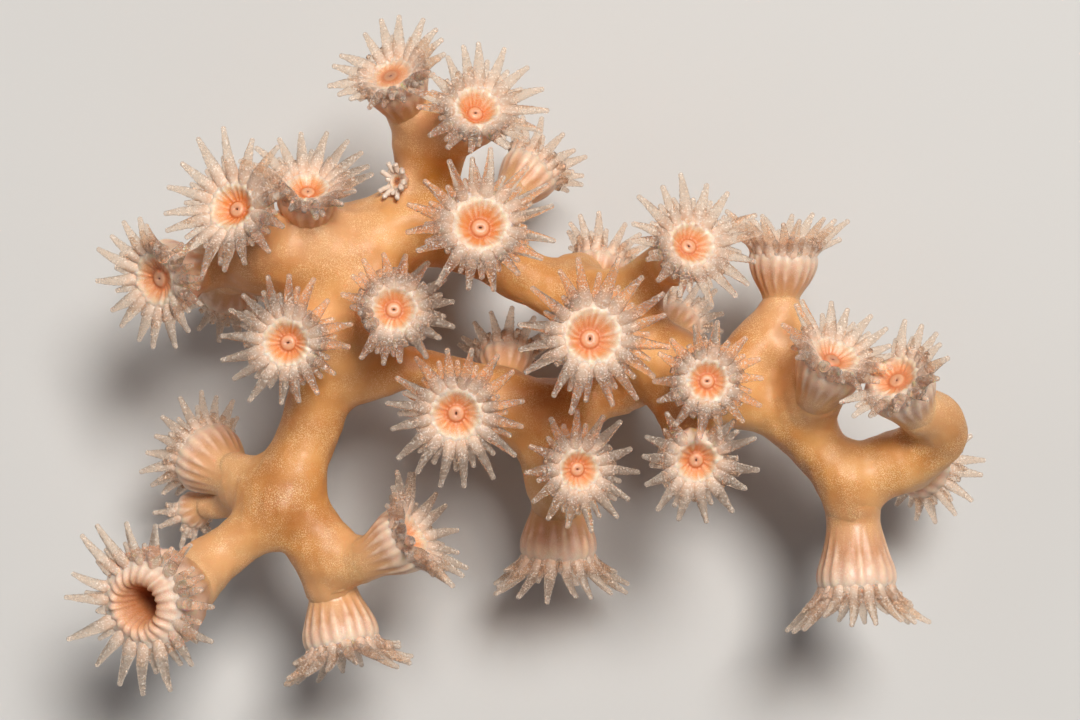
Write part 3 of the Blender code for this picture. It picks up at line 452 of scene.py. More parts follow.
class Field:
    """Distances to the skin's surface on a grid, less than nothing inside."""

    def __init__(self, low, high):
        self.low = low
        self.shape = tuple(np.ceil((high - low) / GRID_STEP).astype(int) + 1)
        self.values = np.full(self.shape, REACH, np.float32)

    def window(self, low, high):
        """Return the part of the grid between two corners, as one slice an axis."""
        first = np.maximum(np.floor((low - self.low) / GRID_STEP).astype(int), 0)
        last = np.minimum(np.ceil((high - self.low) / GRID_STEP).astype(int) + 1, self.shape)
        return tuple(slice(a, b) for a, b in zip(first, last))

    def join(self, routes, web):
        """Add pieces that continue each other, webbed to what is there already."""
        rows = np.vstack(routes)
        low = (rows[:, :3] - rows[:, 3:]).min(axis=0) - REACH
        high = (rows[:, :3] + rows[:, 3:]).max(axis=0) + REACH
        outer = self.window(low, high)
        own = np.full([part.stop - part.start for part in outer], REACH, np.float32)
        start = np.array([part.start for part in outer])
        axes = [self.low[axis] + GRID_STEP * np.arange(part.start, part.stop)
                for axis, part in enumerate(outer)]
        for row in rows:
            middle, radius = row[:3], row[3]
            inner = self.window(middle - radius - REACH, middle + radius + REACH)
            here = tuple(slice(part.start - first, part.stop - first) for part, first in zip(inner, start))
            dx, dy, dz = [(axes[axis][here[axis]] - middle[axis]).astype(np.float32) for axis in range(3)]
            square = dx[:, None, None] ** 2 + dy[None, :, None] ** 2 + dz[None, None, :] ** 2
            own[here] = np.minimum(own[here], np.sqrt(square) - np.float32(radius))
        there = self.values[outer]
        near = np.maximum(web - np.abs(there - own), 0.0)
        self.values[outer] = np.minimum(there, own) - near ** 2 / (4 * web)

    def cut_level(self):
        """Cut everything off flat at the height of the ground."""
        heights = self.low[2] + GRID_STEP * np.arange(self.shape[2])
        self.values = np.maximum(self.values, -heights[None, None, :].astype(np.float32))

    def at(self, places):
        """Return the distances at any places, between those of the grid."""
        scaled = np.clip((places - self.low) / GRID_STEP, 0.0, np.array(self.shape) - GRID_END)
        cell = scaled.astype(int)
        share = scaled - cell
        total = np.zeros(len(places))
        for corner in np.ndindex(2, 2, 2):
            weight = np.prod(np.where(np.array(corner), share, 1 - share), axis=1)
            total += weight * self.values[tuple((cell + corner).T)]
        return total

    def slope(self, places):
        """Return the direction straight out of the skin at each place."""
        steps = GRID_STEP * WAYS
        slopes = np.stack([self.at(places + step) - self.at(places - step) for step in steps], axis=1)
        return slopes / np.maximum(np.linalg.norm(slopes, axis=1, keepdims=True), SMALLEST)

    def surface(self):
        """Return the corners and the four-sided faces of the surface."""
        inside = self.values < 0
        cells = tuple(size - 1 for size in self.shape)
        count = np.zeros(cells, np.int8)
        for corner in np.ndindex(2, 2, 2):
            count += inside[tuple(slice(shift, shift + size) for shift, size in zip(corner, cells))]
        crossed = np.argwhere((count > 0) & (count < 8))
        number = np.full(cells, -1, np.int32)
        number[tuple(crossed.T)] = np.arange(len(crossed))

        total = np.zeros((len(crossed), 3))
        found = np.zeros(len(crossed))
        for axis, along in enumerate(WAYS):
            for start in np.ndindex(2, 2, 2):
                if start[axis]:
                    continue
                first = self.values[tuple((crossed + start).T)]
                second = self.values[tuple((crossed + start + along).T)]
                cuts = (first < 0) != (second < 0)
                share = np.where(cuts, first / np.where(cuts, first - second, 1.0), 0.0)
                point = np.array(start) + along * share[:, None]
                total += np.where(cuts[:, None], point, 0.0)
                found += cuts
        corners = self.low + (crossed + total / found[:, None]) * GRID_STEP

        faces = []
        for axis in range(3):
            _, second, third = np.roll(WAYS, -axis, axis=0)
            lower = [slice(1, -1)] * 3
            lower[axis] = slice(0, -1)
            upper = list(lower)
            upper[axis] = slice(1, None)
            below, above = inside[tuple(lower)], inside[tuple(upper)]
            edges = np.argwhere(below != above)
            outward = below[tuple(edges.T)]
            edges += second + third
            ring = [edges - second - third, edges - third, edges, edges - second]
            quads = np.stack([number[tuple(cell.T)] for cell in ring], axis=1)
            quads[~outward] = quads[~outward][:, ::-1]
            faces.append(quads)
        return corners, np.vstack(faces)


class Shape:
    """The corners, faces and marks of one piece while it is being made."""

    def __init__(self):
        self.points = []
        self.marks = []
        self.faces = []
        self.materials = []
        self.count = 0

    def add(self, points, marks, quads, material=0):
        """Add a patch: its points, the marks of each, its four-sided faces and which material they have."""
        self.points.append(points)
        self.marks.append(marks)
        self.faces.append(quads + self.count)
        self.materials.append(np.full(len(quads), material))
        self.count += len(points)


def ring_quads(rings, sides):
    """Return the faces between rings that follow each other, for points numbered ring by ring."""
    row, side = np.meshgrid(np.arange(rings - 1), np.arange(sides), indexing="ij")
    row, side = row.ravel(), side.ravel()
    following = (side + 1) % sides
    return np.stack([row * sides + side, row * sides + following,
                     (row + 1) * sides + following, (row + 1) * sides + side], axis=1)


def skin_marks(points):
    """Return how near each point is to a cup, and how yellow its skin is."""
    near_cup = np.zeros(len(points))
    none, full = CUP_TONE
    for polyp in POLYPS:
        gap = np.linalg.norm(points - np.array(polyp.rim), axis=1) / polyp.radius
        near_cup = np.maximum(near_cup, np.clip((none - gap) / (none - full), 0.0, 1.0))
    yellow = 1.0 - np.linalg.norm((points - YELLOW_PLACE) / YELLOW_SIZE, axis=1)
    return near_cup, np.clip(yellow, 0.0, 1.0)


def placed(name, data, place=(0.0, 0.0, 0.0)):
    """Put a mesh, a light or a camera into the scene."""
    thing = bpy.data.objects.new(name, data)
    thing.location = place
    bpy.context.scene.collection.objects.link(thing)
    return thing


def piece_from(name, shape, mark_names, materials):
    """Turn a shape in millimetres into a named piece in metres that rides on the colony."""
    points = np.vstack(shape.points)
    marks = dict(zip(("near_cup", "yellow"), skin_marks(points)))
    if mark_names:
        marks.update(zip(mark_names, np.vstack(shape.marks).T))
    points = points * MM
    faces = np.vstack(shape.faces)
    mesh = bpy.data.meshes.new(name)
    mesh.vertices.add(len(points))
    mesh.vertices.foreach_set("co", points.astype(np.float32).ravel())
    mesh.loops.add(faces.size)
    mesh.loops.foreach_set("vertex_index", faces.astype(np.int32).ravel())
    mesh.polygons.add(len(faces))
    mesh.polygons.foreach_set("loop_start", np.arange(0, faces.size, 4, dtype=np.int32))
    mesh.update(calc_edges=True)
    mesh.validate()
    mesh.shade_smooth()
    for material in materials:
        mesh.materials.append(material)
    mesh.polygons.foreach_set("material_index", np.concatenate(shape.materials).astype(np.int32))
    for mark, values in marks.items():
        mesh.attributes.new(mark, "FLOAT", "POINT").data.foreach_set("value", values.astype(np.float32))
    piece = placed(name, mesh)
    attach(piece, "root")
    return piece


def tapered_start(route):
    """Return a route that starts a little thinner, inside the piece that carries it."""
    tapered = route.copy()
    share = np.clip(lengths_along(route) / START_TAPER_LENGTH, 0.0, 1.0)
    tapered[:, 3] *= START_TAPER + (1 - START_TAPER) * share
    return tapered


def branch_groups():
    """Return lists of branch routes, each list of routes that carry straight on from each other."""
    groups = []
    for route in BRANCHES.values():
        before = [group for group in groups if any(other[-1][:3] == route[0][:3] for other in group)]
        if before:
            before[0].append(route)
        else:
            groups.append([route])
    return groups


def skin_field(stalks):
    """Return the field of the skin over all branches and stalks."""
    rows = np.vstack([smooth_route(route) for route in BRANCHES.values()] + list(stalks.values()))
    field = Field((rows[:, :3] - rows[:, 3:]).min(axis=0) - GRID_MARGIN,
                  (rows[:, :3] + rows[:, 3:]).max(axis=0) + GRID_MARGIN)
    for group in branch_groups():
        members = [smooth_route(route) for route in group]
        if group[0] is not BRANCHES["trunk"]:
            members[0] = tapered_start(members[0])
        field.join(members, BRANCH_WEB)
    for polyp in POLYPS:
        stalk = stalks[polyp.name]
        rows_kept = len(stalk) - round(polyp.radius * STALK_END_BACK / ROUTE_STEP)
        web = SLIM_WEBS.get(polyp.name, min(STALK_WEB, polyp.radius * WEB_TO_RADIUS))
        field.join([tapered_start(stalk[:max(rows_kept, FEWEST_ROWS)])], web)
    field.cut_level()
    return field


def build_skin(field, materials):
    """Make the skin over the branches and stalks, in place of all the branches' solids."""
    points, faces = field.surface()
    points -= field.slope(points) * field.at(points)[:, None]
    height = swells(points, *WAVES, 1) + swells(points, *LUMPS, 2)
    points += field.slope(points) * height[:, None]
    points[:, 2] = np.maximum(points[:, 2], 0.0)

    shape = Shape()
    shape.add(points, None, faces)
    piece = piece_from("branch_skin", shape, (), materials)
    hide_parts(*BRANCHES)


def eased(points, count):
    """Return the given number of rows along a smooth curve through rows of any width."""
    return through(points, lambda length: np.linspace(0.0, length, count))


def eased_pairs(pairs, count):
    """Return the first and second numbers of pairs along a smooth curve, spaced by the first ones."""
    rows = eased([(first, 0.0, 0.0, second) for first, second in pairs], count)
    return rows[:, 0], rows[:, 3]


def rising(value, start, end):
    """Return a smooth change from 0 to 1 while the value goes from start to end, which may be lower."""
    share = np.clip((value - start) / (end - start), 0.0, 1.0)
    return share * share * (3 - 2 * share)


def band(value, start, full, fading, end):
    """Return 1 from full to fading, with a smooth change to 0 at the start and the end."""
    return rising(value, start, full) * rising(value, end, fading)


def swing(phase):
    """Return a wave from 0 to 1."""
    return 0.5 + 0.5 * np.cos(phase)


def around(angles, first, second):
    """Return the directions at angles around an axis, from two directions across it."""
    return np.cos(angles)[:, None] * first + np.sin(angles)[:, None] * second


def down_the_cup(polyp, frame, route, depths):
    """Return the middle of a ring and two directions across it at each depth below the rim.

    Above the neck the rings lie on the cup's straight axis, and below it on the stalk's route.
    """
    rim, facing, across, _ = frame
    stalk = route[::-1, :3]
    gone = lengths_along(stalk)
    ways = -np.gradient(stalk, axis=0)
    rings = []
    for depth in depths:
        below = depth - polyp.cup_length
        middle, way = rim - facing * depth, facing
        if below > 0:
            middle = np.array([np.interp(below, gone, stalk[:, axis]) for axis in range(3)])
            along = unit([np.interp(below, gone, ways[:, axis]) for axis in range(3)])
            turned = rising(below, 0.0, polyp.radius)
            way = unit(facing * (1 - turned) + along * turned)
        across = unit(across - way * across.dot(way))
        rings.append((middle, across, np.cross(way, across)))
    return rings


def to_skin(field, middle, outward, expected):
    """Return how far the skin lies from the middle along each way out, near the expected distance."""
    reach = np.linspace(*SEARCHED) * expected
    places = middle + outward[:, None, :] * reach[None, :, None]
    distances = field.at(places.reshape(-1, 3)).reshape(len(outward), -1)
    after = np.clip((distances > 0).argmax(axis=1), 1, len(reach) - 1)
    side = np.arange(len(outward))
    low, high = distances[side, after - 1], distances[side, after]
    share = np.clip(-low / np.maximum(high - low, SMALLEST), 0.0, 1.0)
    share[distances.max(axis=1) < 0] = 1.0
    after[distances.max(axis=1) < 0] = len(reach) - 1
    found = reach[after - 1] + (reach[after] - reach[after - 1]) * share
    return np.clip(found, 0.0, WIDEST_FOLLOWED * expected)


def rib_waves(polyp, angles, rng):
    """Return the wave of a cup's ribs, how strong each rib is, and how far below the rim it ends."""
    ribs = round(polyp.tentacles * RIBS_PER_TENTACLE)
    phase = angles * ribs
    for size, waves in RIB_WANDER:
        phase = phase + size * np.sin(angles * waves + rng.uniform(0, 6))
    nearest = np.round(phase / TURN).astype(int) % ribs
    strength = np.array([rng.uniform(*RIB_STRENGTH) for _ in range(ribs)])[nearest]
    lowest = polyp.cup_length / polyp.radius + RIBS_BELOW_NECK
    ends = np.array([min(rng.uniform(*RIB_FADE), lowest) for _ in range(ribs)])[nearest]
    return swing(phase), strength, ends


def wall_rings(polyp, route, neck_width):
    """Return how far down a cup's wall its rings lie, from inside the stalk's skin, and how wide they are."""
    neck = polyp.cup_length / polyp.radius
    lowest = min(neck + EMERGE_BACK, neck + (len(route) * ROUTE_STEP - ROUTE_LEFT) / polyp.radius)
    sides = [(neck + EMERGE_BACK, neck_width), (neck + NECK_TOP, neck_width), *WALL[:2]]
    side_backs, side_widths = eased_pairs(sides, SIDE_ROWS)
    backs, widths = eased_pairs(WALL, WALL_ROWS)
    emerging = np.linspace(lowest, WALL[0][0], EMERGE_ROWS, endpoint=False)
    return (np.concatenate([emerging, backs]),
            np.concatenate([np.interp(emerging, side_backs[::-1], side_widths[::-1]), widths]))


def cup_wall(polyp, frame, route, field, angles, ribs):
    """Return the rings of a cup's wall, their marks, and how much of its own colour each point has."""
    radius = polyp.radius
    neck = polyp.cup_length / radius
    neck_width = NECKS.get(polyp.name, NECK_WIDTH)
    wave, strength, ends = ribs
    backs, widths = wall_rings(polyp, route, neck_width)
    rings = down_the_cup(polyp, frame, route, backs[::-1] * radius)[::-1]
    rows, marks = [], []
    for back, width, (middle, across, along) in zip(backs, widths, rings):
        outward = around(angles, across, along)
        away = np.full(CUP_SIDES, radius * width)
        in_skin = rising(back - neck, *FOLLOWING)
        if in_skin > 0:
            deep = max(back, neck + STALK_END_BACK + NECK_TOP)
            level = down_the_cup(polyp, frame, route, [deep * radius])[0][0]
            skin_at = to_skin(field, level, outward, radius * neck_width)
            away = away * (1 - in_skin) + (skin_at - np.interp(back - neck, SINKING, (0.0, SUNK))) * in_skin
        near_rim = rising(back, GRANULES_FROM, 0.0)
        sharpness = RIB_SHARPNESS + RIB_SHARPENING * max(0.0, back - RIB_SHARPENS_FROM)
        crest = wave ** sharpness * (1 - 0.5 * near_rim)
        shown = strength * rising(back, ends, ends - FADE_LENGTH)
        away = away + (crest - RIB_LEVEL * (1 - in_skin)) * shown * RIB_HEIGHT * radius / USUAL_RADIUS
        points = middle + outward * away[:, None]
        granules = near_rim * swells(points, *GRANULES, polyp.tentacles)
        rows.append(points + outward * granules[:, None])
        place = 1.0 + np.clip((back - WALL[-1][0]) / (backs[0] - WALL[-1][0]), 0.0, 1.0)
        marks.append(np.stack([np.full(CUP_SIDES, place), crest * shown], axis=1))
    above_neck = (neck + NECK_TOP - backs[:, None] + NECK_STREAKS * (wave - 0.5) * strength) / NECK_FADE
    out_of_skin = field.at(np.vstack(rows)) / (BARE_FROM_SKIN * radius)
    return rows, marks, np.clip(np.minimum(out_of_skin, above_neck.ravel()), 0.0, 1.0)


def cup_disc(polyp, frame, angles, rng):
    """Return the rings of a disc, from the rim in to the mouth, and their marks."""
    rim, facing, first, second = frame
    radius, mouth = polyp.radius, polyp.mouth
    relief = radius / USUAL_RADIUS
    ribs = round(polyp.tentacles * RIBS_PER_TENTACLE)
    outward = around(angles, first, second)
    shift = np.array([*mouth.shift, 0.0])
    shift = (shift - facing * shift.dot(facing)) * radius
    streaks = []
    for _ in range(ribs + STREAKS_MORE):
        angle, bright = rng.uniform(0, TURN), rng.uniform(*STREAK_PALENESS) ** MOSTLY_FAINT
        streaks.append((angle, bright, rng.uniform(*STREAK_START)))
    turn = rng.uniform(0, 6)
    lobe_phase = angles * polyp.tentacles
    for size, waves, way in LOBE_WANDER:
        lobe_phase = lobe_phase + size * np.sin(angles * waves + way * turn)
    lobe_size = 1 + LOBE_CHANGE * (np.sin(angles * LOBE_CHANGES + turn) - 1)
    rows, marks = [], []
    profile = eased([(0.0, across, height) for across, height in mouth.profile], DISC_ROWS)
    for _, across, height in profile:
        streak = np.zeros(CUP_SIDES)
        for angle, bright, start in streaks:
            arc = (np.mod(angles - angle + math.pi, TURN) - math.pi) * across * radius
            shown = bright * band(across, start, start + STREAK_RISE, *STREAK_END)
            streak = np.maximum(streak, shown * np.exp(-(arc / STREAK_WIDTH) ** 2))
        fold_phase = angles * round(ribs * FOLDS_PER_RIB) + turn + FOLD_TWIST * across
        folds = mouth.folds * band(across, *FOLDS) * swing(fold_phase)
        in_funnel = band(across, *FUNNEL)
        lobes = min(1.0, mouth.depth) * lobe_size * in_funnel * swing(lobe_phase + LOBE_TWIST * across)
        sunk = height * (mouth.depth if height < 0 else 1.0)
        middle = rim + shift * rising(across, *MOUTH_SHIFTED)
        slit = 1.0 - SLIT * np.cos(2 * angles) * rising(across, *SLIT_WITHIN)
        points = middle + outward * (radius * across * slit)[:, None] + facing * radius * sunk
        rise = streak * STREAK_HEIGHT + folds * FOLD_HEIGHT + (lobes - LOBE_LEVEL * in_funnel) * LOBE_HEIGHT
        granules = rising(across, *DISC_GRANULES) * swells(points, *GRANULES, polyp.tentacles)
        rows.append(points + facing * (rise * relief + granules)[:, None])
        ridge = np.maximum(streak, RIDGE_OF_FOLDS * np.maximum(folds, lobes))
        marks.append(np.stack([np.full(CUP_SIDES, across / WALL[-1][1]), ridge], axis=1))
    return rows, marks


def add_cup(shape, polyp, frame, route, field, rng):
    """Add the ribbed wall of a cup, up out of the stalk's skin, and the disc with the mouth."""
    angles = np.arange(CUP_SIDES) * TURN / CUP_SIDES
    ribs = rib_waves(polyp, angles, rng)
    wall, wall_marks, bare = cup_wall(polyp, frame, route, field, angles, ribs)
    disc, disc_marks = cup_disc(polyp, frame, angles, rng)
    points, marks = np.vstack(wall + disc), np.vstack(wall_marks + disc_marks)
    mouth = polyp.mouth
    warmth, paleness, own = [np.full(len(points), value) for value in (mouth.warmth, mouth.paleness, 1.0)]
    own[:len(bare)] = bare
    shape.add(points, np.column_stack([marks, warmth, paleness, own]),
              ring_quads(len(wall + disc), CUP_SIDES), 0)


def add_tentacle(shape, polyp, frame, path, base, sides, rings, rng):
    """Add one tentacle: a warty cone that grows out of the rim and ends in a small knob."""
    rim, facing, _, _ = frame
    outward = unit(path[0] - rim)
    root = rim + (outward * ROOT_ACROSS - facing * ROOT_DEPTH) * polyp.radius
    dips = FOOT_DIP * np.clip(1 - np.arange(len(path)) / 3, 0, 1) ** 2
    path = np.vstack([root, path - facing * dips[:, None]])
    path[-1] -= unit(path[-1] - path[-2]) * SHORTENED
    line = eased(path, rings)
    length = np.linalg.norm(np.diff(line, axis=0), axis=1).sum()
    rooted = np.linalg.norm(path[1] - root) / length
    tangents = unit(np.gradient(line, axis=0))
    firsts = directions_across(tangents)
    seconds = np.cross(tangents, firsts)
    share = np.linspace(0.0, 1.0, rings)
    onward = np.clip((share - rooted) / (1.0 - rooted), 0.0, 1.0)
    radii = TIP + (base - TIP) * (1 - onward) ** TAPER
    radii *= ROOT_WIDTH + (1 - ROOT_WIDTH) * np.clip(share / rooted, 0.0, 1.0)
    radii += (KNOB - TIP) * np.exp(-((share - 1.0) * length / KNOB_LENGTH) ** 2)

    draws = np.random.default_rng(rng.randrange(10 ** 6))
    number = np.arange(sides)
    cells = share[:, None] * length / WART_PITCH + draws.uniform(*WART_SHIFTS, sides) + 0.5 * (number % 2)
    row = np.floor(cells).astype(int)
    sizes = draws.uniform(*WART_SIZES, (row.max() + 1, sides))
    warts = np.sin(np.pi * (cells - row)) ** 2 * sizes[row, number]
    warts *= np.interp(length * (1 - share), SMOOTH_END, (0.0, 1.0))[:, None]
    wart_height = WART_HEIGHT * (THIN_WARTS + (1 - THIN_WARTS) * radii[:, None] / LONG_BASE)
    away = radii[:, None] + (warts - WART_LEVEL) * wart_height
    outward = around(number * TURN / sides, firsts[:, None, :], seconds[:, None, :])
    points = line[:, None, :] + outward * away[:, :, None]
    budding = 2 * np.clip(1 - polyp.radius / BUD_RADIUS, 0.0, 0.5)
    marks = np.stack([np.repeat(share[:, None], sides, axis=1), warts], axis=2)
    marks = np.concatenate([marks, np.full((rings, sides, 3), budding)], axis=2)

    cap_rows = []
    for lean in np.radians(KNOB_LEANS):
        cap_rows.append(line[-1] + outward[-1] * KNOB * math.cos(lean) + tangents[-1] * KNOB * math.sin(lean))
    cap_marks = np.tile([1.0, 0.0, budding, budding, budding], (sides * len(cap_rows), 1))
    shape.add(np.vstack([points.reshape(-1, 3), *cap_rows]), np.vstack([marks.reshape(-1, 5), cap_marks]),
              ring_quads(rings + len(cap_rows), sides), 1)


def build_polyp(polyp, number, route, field, all_skin, tentacles, materials):
    """Make one polyp in place of its solid: the cup, the mouth, and long and short tentacles."""
    frame = cup_frame(polyp, route)
    rng = random.Random(POLYP_SEED + number)
    shape = Shape()
    add_cup(shape, polyp, frame, route, field, rng)
    size = min(1.0, polyp.radius / FULL_SIZE_FROM)
    step = 360.0 / polyp.tentacles
    for plan in tentacle_plans(polyp, number):
        plan = free_tentacle(polyp, frame, plan, all_skin, tentacles)
        if plan is None:
            continue
        azimuth, lift, curl, length, sway = plan
        add_tentacle(shape, polyp, frame, tentacle_path(polyp, frame, plan),
                     LONG_BASE * size * rng.uniform(*LONG_BASES), LONG_SIDES, LONG_RINGS, rng)
        share = rng.uniform(*SHORT_SHARE)
        short = (azimuth + step * rng.uniform(*SHORT_TURN),
                 lift - SHORT_DROP + rng.uniform(-SHORT_WANDER, SHORT_WANDER),
                 curl * SHORT_CURL, length * share, sway)
        add_tentacle(shape, polyp, frame, tentacle_path(polyp, frame, short, SHORT_FOOT),
                     SHORT_BASE * size * rng.uniform(*SHORT_BASES), SHORT_SIDES, SHORT_RINGS, rng)
    piece = piece_from(polyp.name + "_open", shape, POLYP_MARKS, materials)
    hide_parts(polyp.name)


def as_colour(value):
    """Return a colour, grey where it is given as one number."""
    return (value,) * 3 if isinstance(value, float) else value


def connect(tree, socket, value):
    """Link a socket to another node, or set it to a number or a colour."""
    if isinstance(value, bpy.types.NodeSocket):
        tree.links.new(value, socket)
    elif socket.type == "RGBA":
        socket.default_value = (*as_colour(value), 1.0)
    else:
        socket.default_value = value


def fill(tree, node, **inputs):
    """Connect the inputs of a node by name."""
    for name, value in inputs.items():
        connect(tree, node.inputs[name.replace("_", " ")], value)
    return node


def add_node(tree, kind, **inputs):
    return fill(tree, tree.nodes.new(kind), **inputs)


def new_material(name):
    """Return a new material, its node tree, its shader and the place on the piece, in metres."""
    material = bpy.data.materials.new(name)
    material.use_nodes = True
    tree = material.node_tree
    place = add_node(tree, "ShaderNodeTexCoord").outputs["Object"]
    return material, tree, tree.nodes["Principled BSDF"], place


def attribute(tree, name):
    node = add_node(tree, "ShaderNodeAttribute")
    node.attribute_name = name
    return node.outputs["Fac"]


def mixed(tree, share, first, second):
    """Return the mix of two colours."""
    node = add_node(tree, "ShaderNodeMix")
    node.data_type = "RGBA"
    for socket, value in zip((node.inputs["Factor"], node.inputs[6], node.inputs[7]), (share, first, second)):
        connect(tree, socket, value)
    return node.outputs[2]


def product(tree, first, second):
    node = add_node(tree, "ShaderNodeMath")
    node.operation = "MULTIPLY"
    connect(tree, node.inputs[0], first)
    connect(tree, node.inputs[1], second)
    return node.outputs[0]


def ramp(tree, share, stops):
    """Return the colour of a ramp of (place, colour) stops."""
    node = add_node(tree, "ShaderNodeValToRGB", Fac=share)
    elements = node.color_ramp.elements
    elements.remove(elements[1])
    for index, (place, colour) in enumerate(stops):
        element = elements.new(place) if index else elements[0]
        element.position = place
        element.color = (*as_colour(colour), 1.0)
    return node.outputs["Color"]


def mapped(tree, value, low, high, to_low=0.0, to_high=1.0):
    node = add_node(tree, "ShaderNodeMapRange", Value=value, From_Min=low, From_Max=high,
                    To_Min=to_low, To_Max=to_high)
    return node.outputs["Result"]


def noise(tree, place, size, detail=2.0):
    """Return noise whose lumps are about the given size in millimetres."""
    node = add_node(tree, "ShaderNodeTexNoise", Vector=place, Scale=1.0 / (size * MM), Detail=detail)
    return node.outputs["Fac"]


def patches(tree, place, size, detail, low, high, to_low=0.0, to_high=1.0):
    """Return a mask of patches of about the given size, from noise between two heights."""
    return mapped(tree, noise(tree, place, size, detail), low, high, to_low, to_high)


def bumps(tree, layers):
    """Return the direction out of a surface with bumps from (height, strength, millimetres) layers."""
    normal = None
    for height, strength, distance in layers:
        node = add_node(tree, "ShaderNodeBump", Height=height, Strength=strength, Distance=distance * MM)
        if normal is not None:
            connect(tree, node.inputs["Normal"], normal)
        normal = node.outputs["Normal"]
    return normal


def flesh(weight, scale):
    """Return the inputs that let light sink into a surface, red the furthest."""
    return {"Subsurface_Weight": weight, "Subsurface_Radius": RED_FURTHEST, "Subsurface_Scale": scale * MM}


# Colours, as linear red, green and blue
SKIN = (0.62, 0.265, 0.066)
SKIN_PALE = (0.82, 0.43, 0.15)
SKIN_DEEP = (0.44, 0.15, 0.026)
SKIN_YELLOW = (0.64, 0.26, 0.014)
GRAIN = (0.96, 0.70, 0.39)
NECK = (0.72, 0.39, 0.19)
RIB = (0.86, 0.60, 0.42)
GROOVE = (0.60, 0.29, 0.145)
RING = (0.90, 0.59, 0.40)
GRANULE = (1.0, 0.87, 0.73)
BLOTCH = (0.84, 0.46, 0.30)
RED_FURTHEST = (1.0, 0.42, 0.2)  # how far each colour of light sinks into the flesh

# The colours of a cup by place: 0 in the middle of the mouth, 0.5 on the rim and 1 at the foot of the wall
# The first two stops make the middle of the mouth near black and dark brown: painted shade in the pore.
MOUTH_STOPS = [(0.0, (0.05, 0.012, 0.008)), (0.012, (0.2, 0.05, 0.03)), (0.026, (0.66, 0.32, 0.19)),
               (0.11, (0.74, 0.38, 0.21))]
WALL_STOPS = [(0.5, (0.86, 0.63, 0.50)), (0.56, (0.80, 0.54, 0.40)), (0.68, GROOVE), (0.86, NECK)]
# The darker stop at 0.14 lies at the bottom of the groove round the mouth's dome: the throat's own colour,
# darkened there by painted shade, in these and the pink stops.
ORANGE_STOPS = [*MOUTH_STOPS, (0.14, (0.53, 0.13, 0.02)), (0.2, (0.74, 0.21, 0.034)),
                (0.29, (0.81, 0.30, 0.074)), (0.38, RING), *WALL_STOPS]
PINK_STOPS = [*MOUTH_STOPS, (0.14, (0.63, 0.20, 0.074)), (0.2, (0.77, 0.27, 0.11)),
              (0.29, (0.83, 0.36, 0.165)), (0.38, RING), *WALL_STOPS]
# A dull disc darkens from brown to near black down its deep funnel: the pit's own brown with painted shade.
DULL_STOPS = [(0.0, (0.06, 0.012, 0.004)), (0.1, (0.30, 0.09, 0.028)), (0.18, (0.52, 0.20, 0.075)),
              (0.25, (0.68, 0.34, 0.17)), (0.36, (0.78, 0.48, 0.33)), *WALL_STOPS]
CREST_STOPS = [(0.1, (0.77, 0.32, 0.175)), (0.15, (0.89, 0.46, 0.265)), (0.26, (0.93, 0.58, 0.37)),
               (0.4, GRANULE), (0.5, (0.90, 0.68, 0.54)), (0.6, RIB), (0.8, RIB), (1.0, NECK)]
RIM_STOPS = [(0.14, 0.1), (0.3, 0.6), (0.42, 1.0), (0.55, 0.7), (0.75, 0.2)]

# Tentacles: the two ends of their uneven colour, and how clear they are in places
BODY = (0.95, 0.76, 0.61), (0.98, 0.84, 0.71)
ROOT = (0.82, 0.50, 0.32), (0.96, 0.76, 0.60)
TIP_TONE = (0.99, 0.88, 0.78)
WART = (1.0, 0.94, 0.87)
CLEAR_BODY = 0.9
CLEAR_WART = 0.3
CLEAR_TIP = 0.6
CLEAR_ROOT = 0.15
CLEAR_BUD = 0.3


def skin_tone(tree, place):
    """Return the colour of the tan skin, with slow changes of tone and fine pale grains, and the grains."""
    tone = ramp(tree, noise(tree, place, 7.0, 3.0), [(0.3, SKIN_DEEP), (0.5, SKIN), (0.72, SKIN_PALE)])
    tone = mixed(tree, attribute(tree, "yellow"), tone, SKIN_YELLOW)
    tone = mixed(tree, product(tree, attribute(tree, "near_cup"), 0.85), tone, NECK)
    grains = product(tree, patches(tree, place, 0.085, 1.0, 0.5, 0.64),
                     patches(tree, place, 2.2, 2.0, 0.4, 0.6, 0.15, 1.0))
    return mixed(tree, product(tree, grains, 0.7), tone, GRAIN), grains


def skin_material():
    """Tan skin over the branches and stalks."""
    material, tree, shader, place = new_material("coral_skin")
    tone, grains = skin_tone(tree, place)
    fill(tree, shader, Base_Color=tone, Roughness=patches(tree, place, 0.9, 2.0, 0.3, 0.7, 0.42, 0.62),
         Coat_Weight=0.08, Coat_Roughness=0.35, **flesh(0.3, 1.2),
         Normal=bumps(tree, [(noise(tree, place, 0.5), 0.5, 0.06), (grains, 0.4, 0.03)]))
    return material


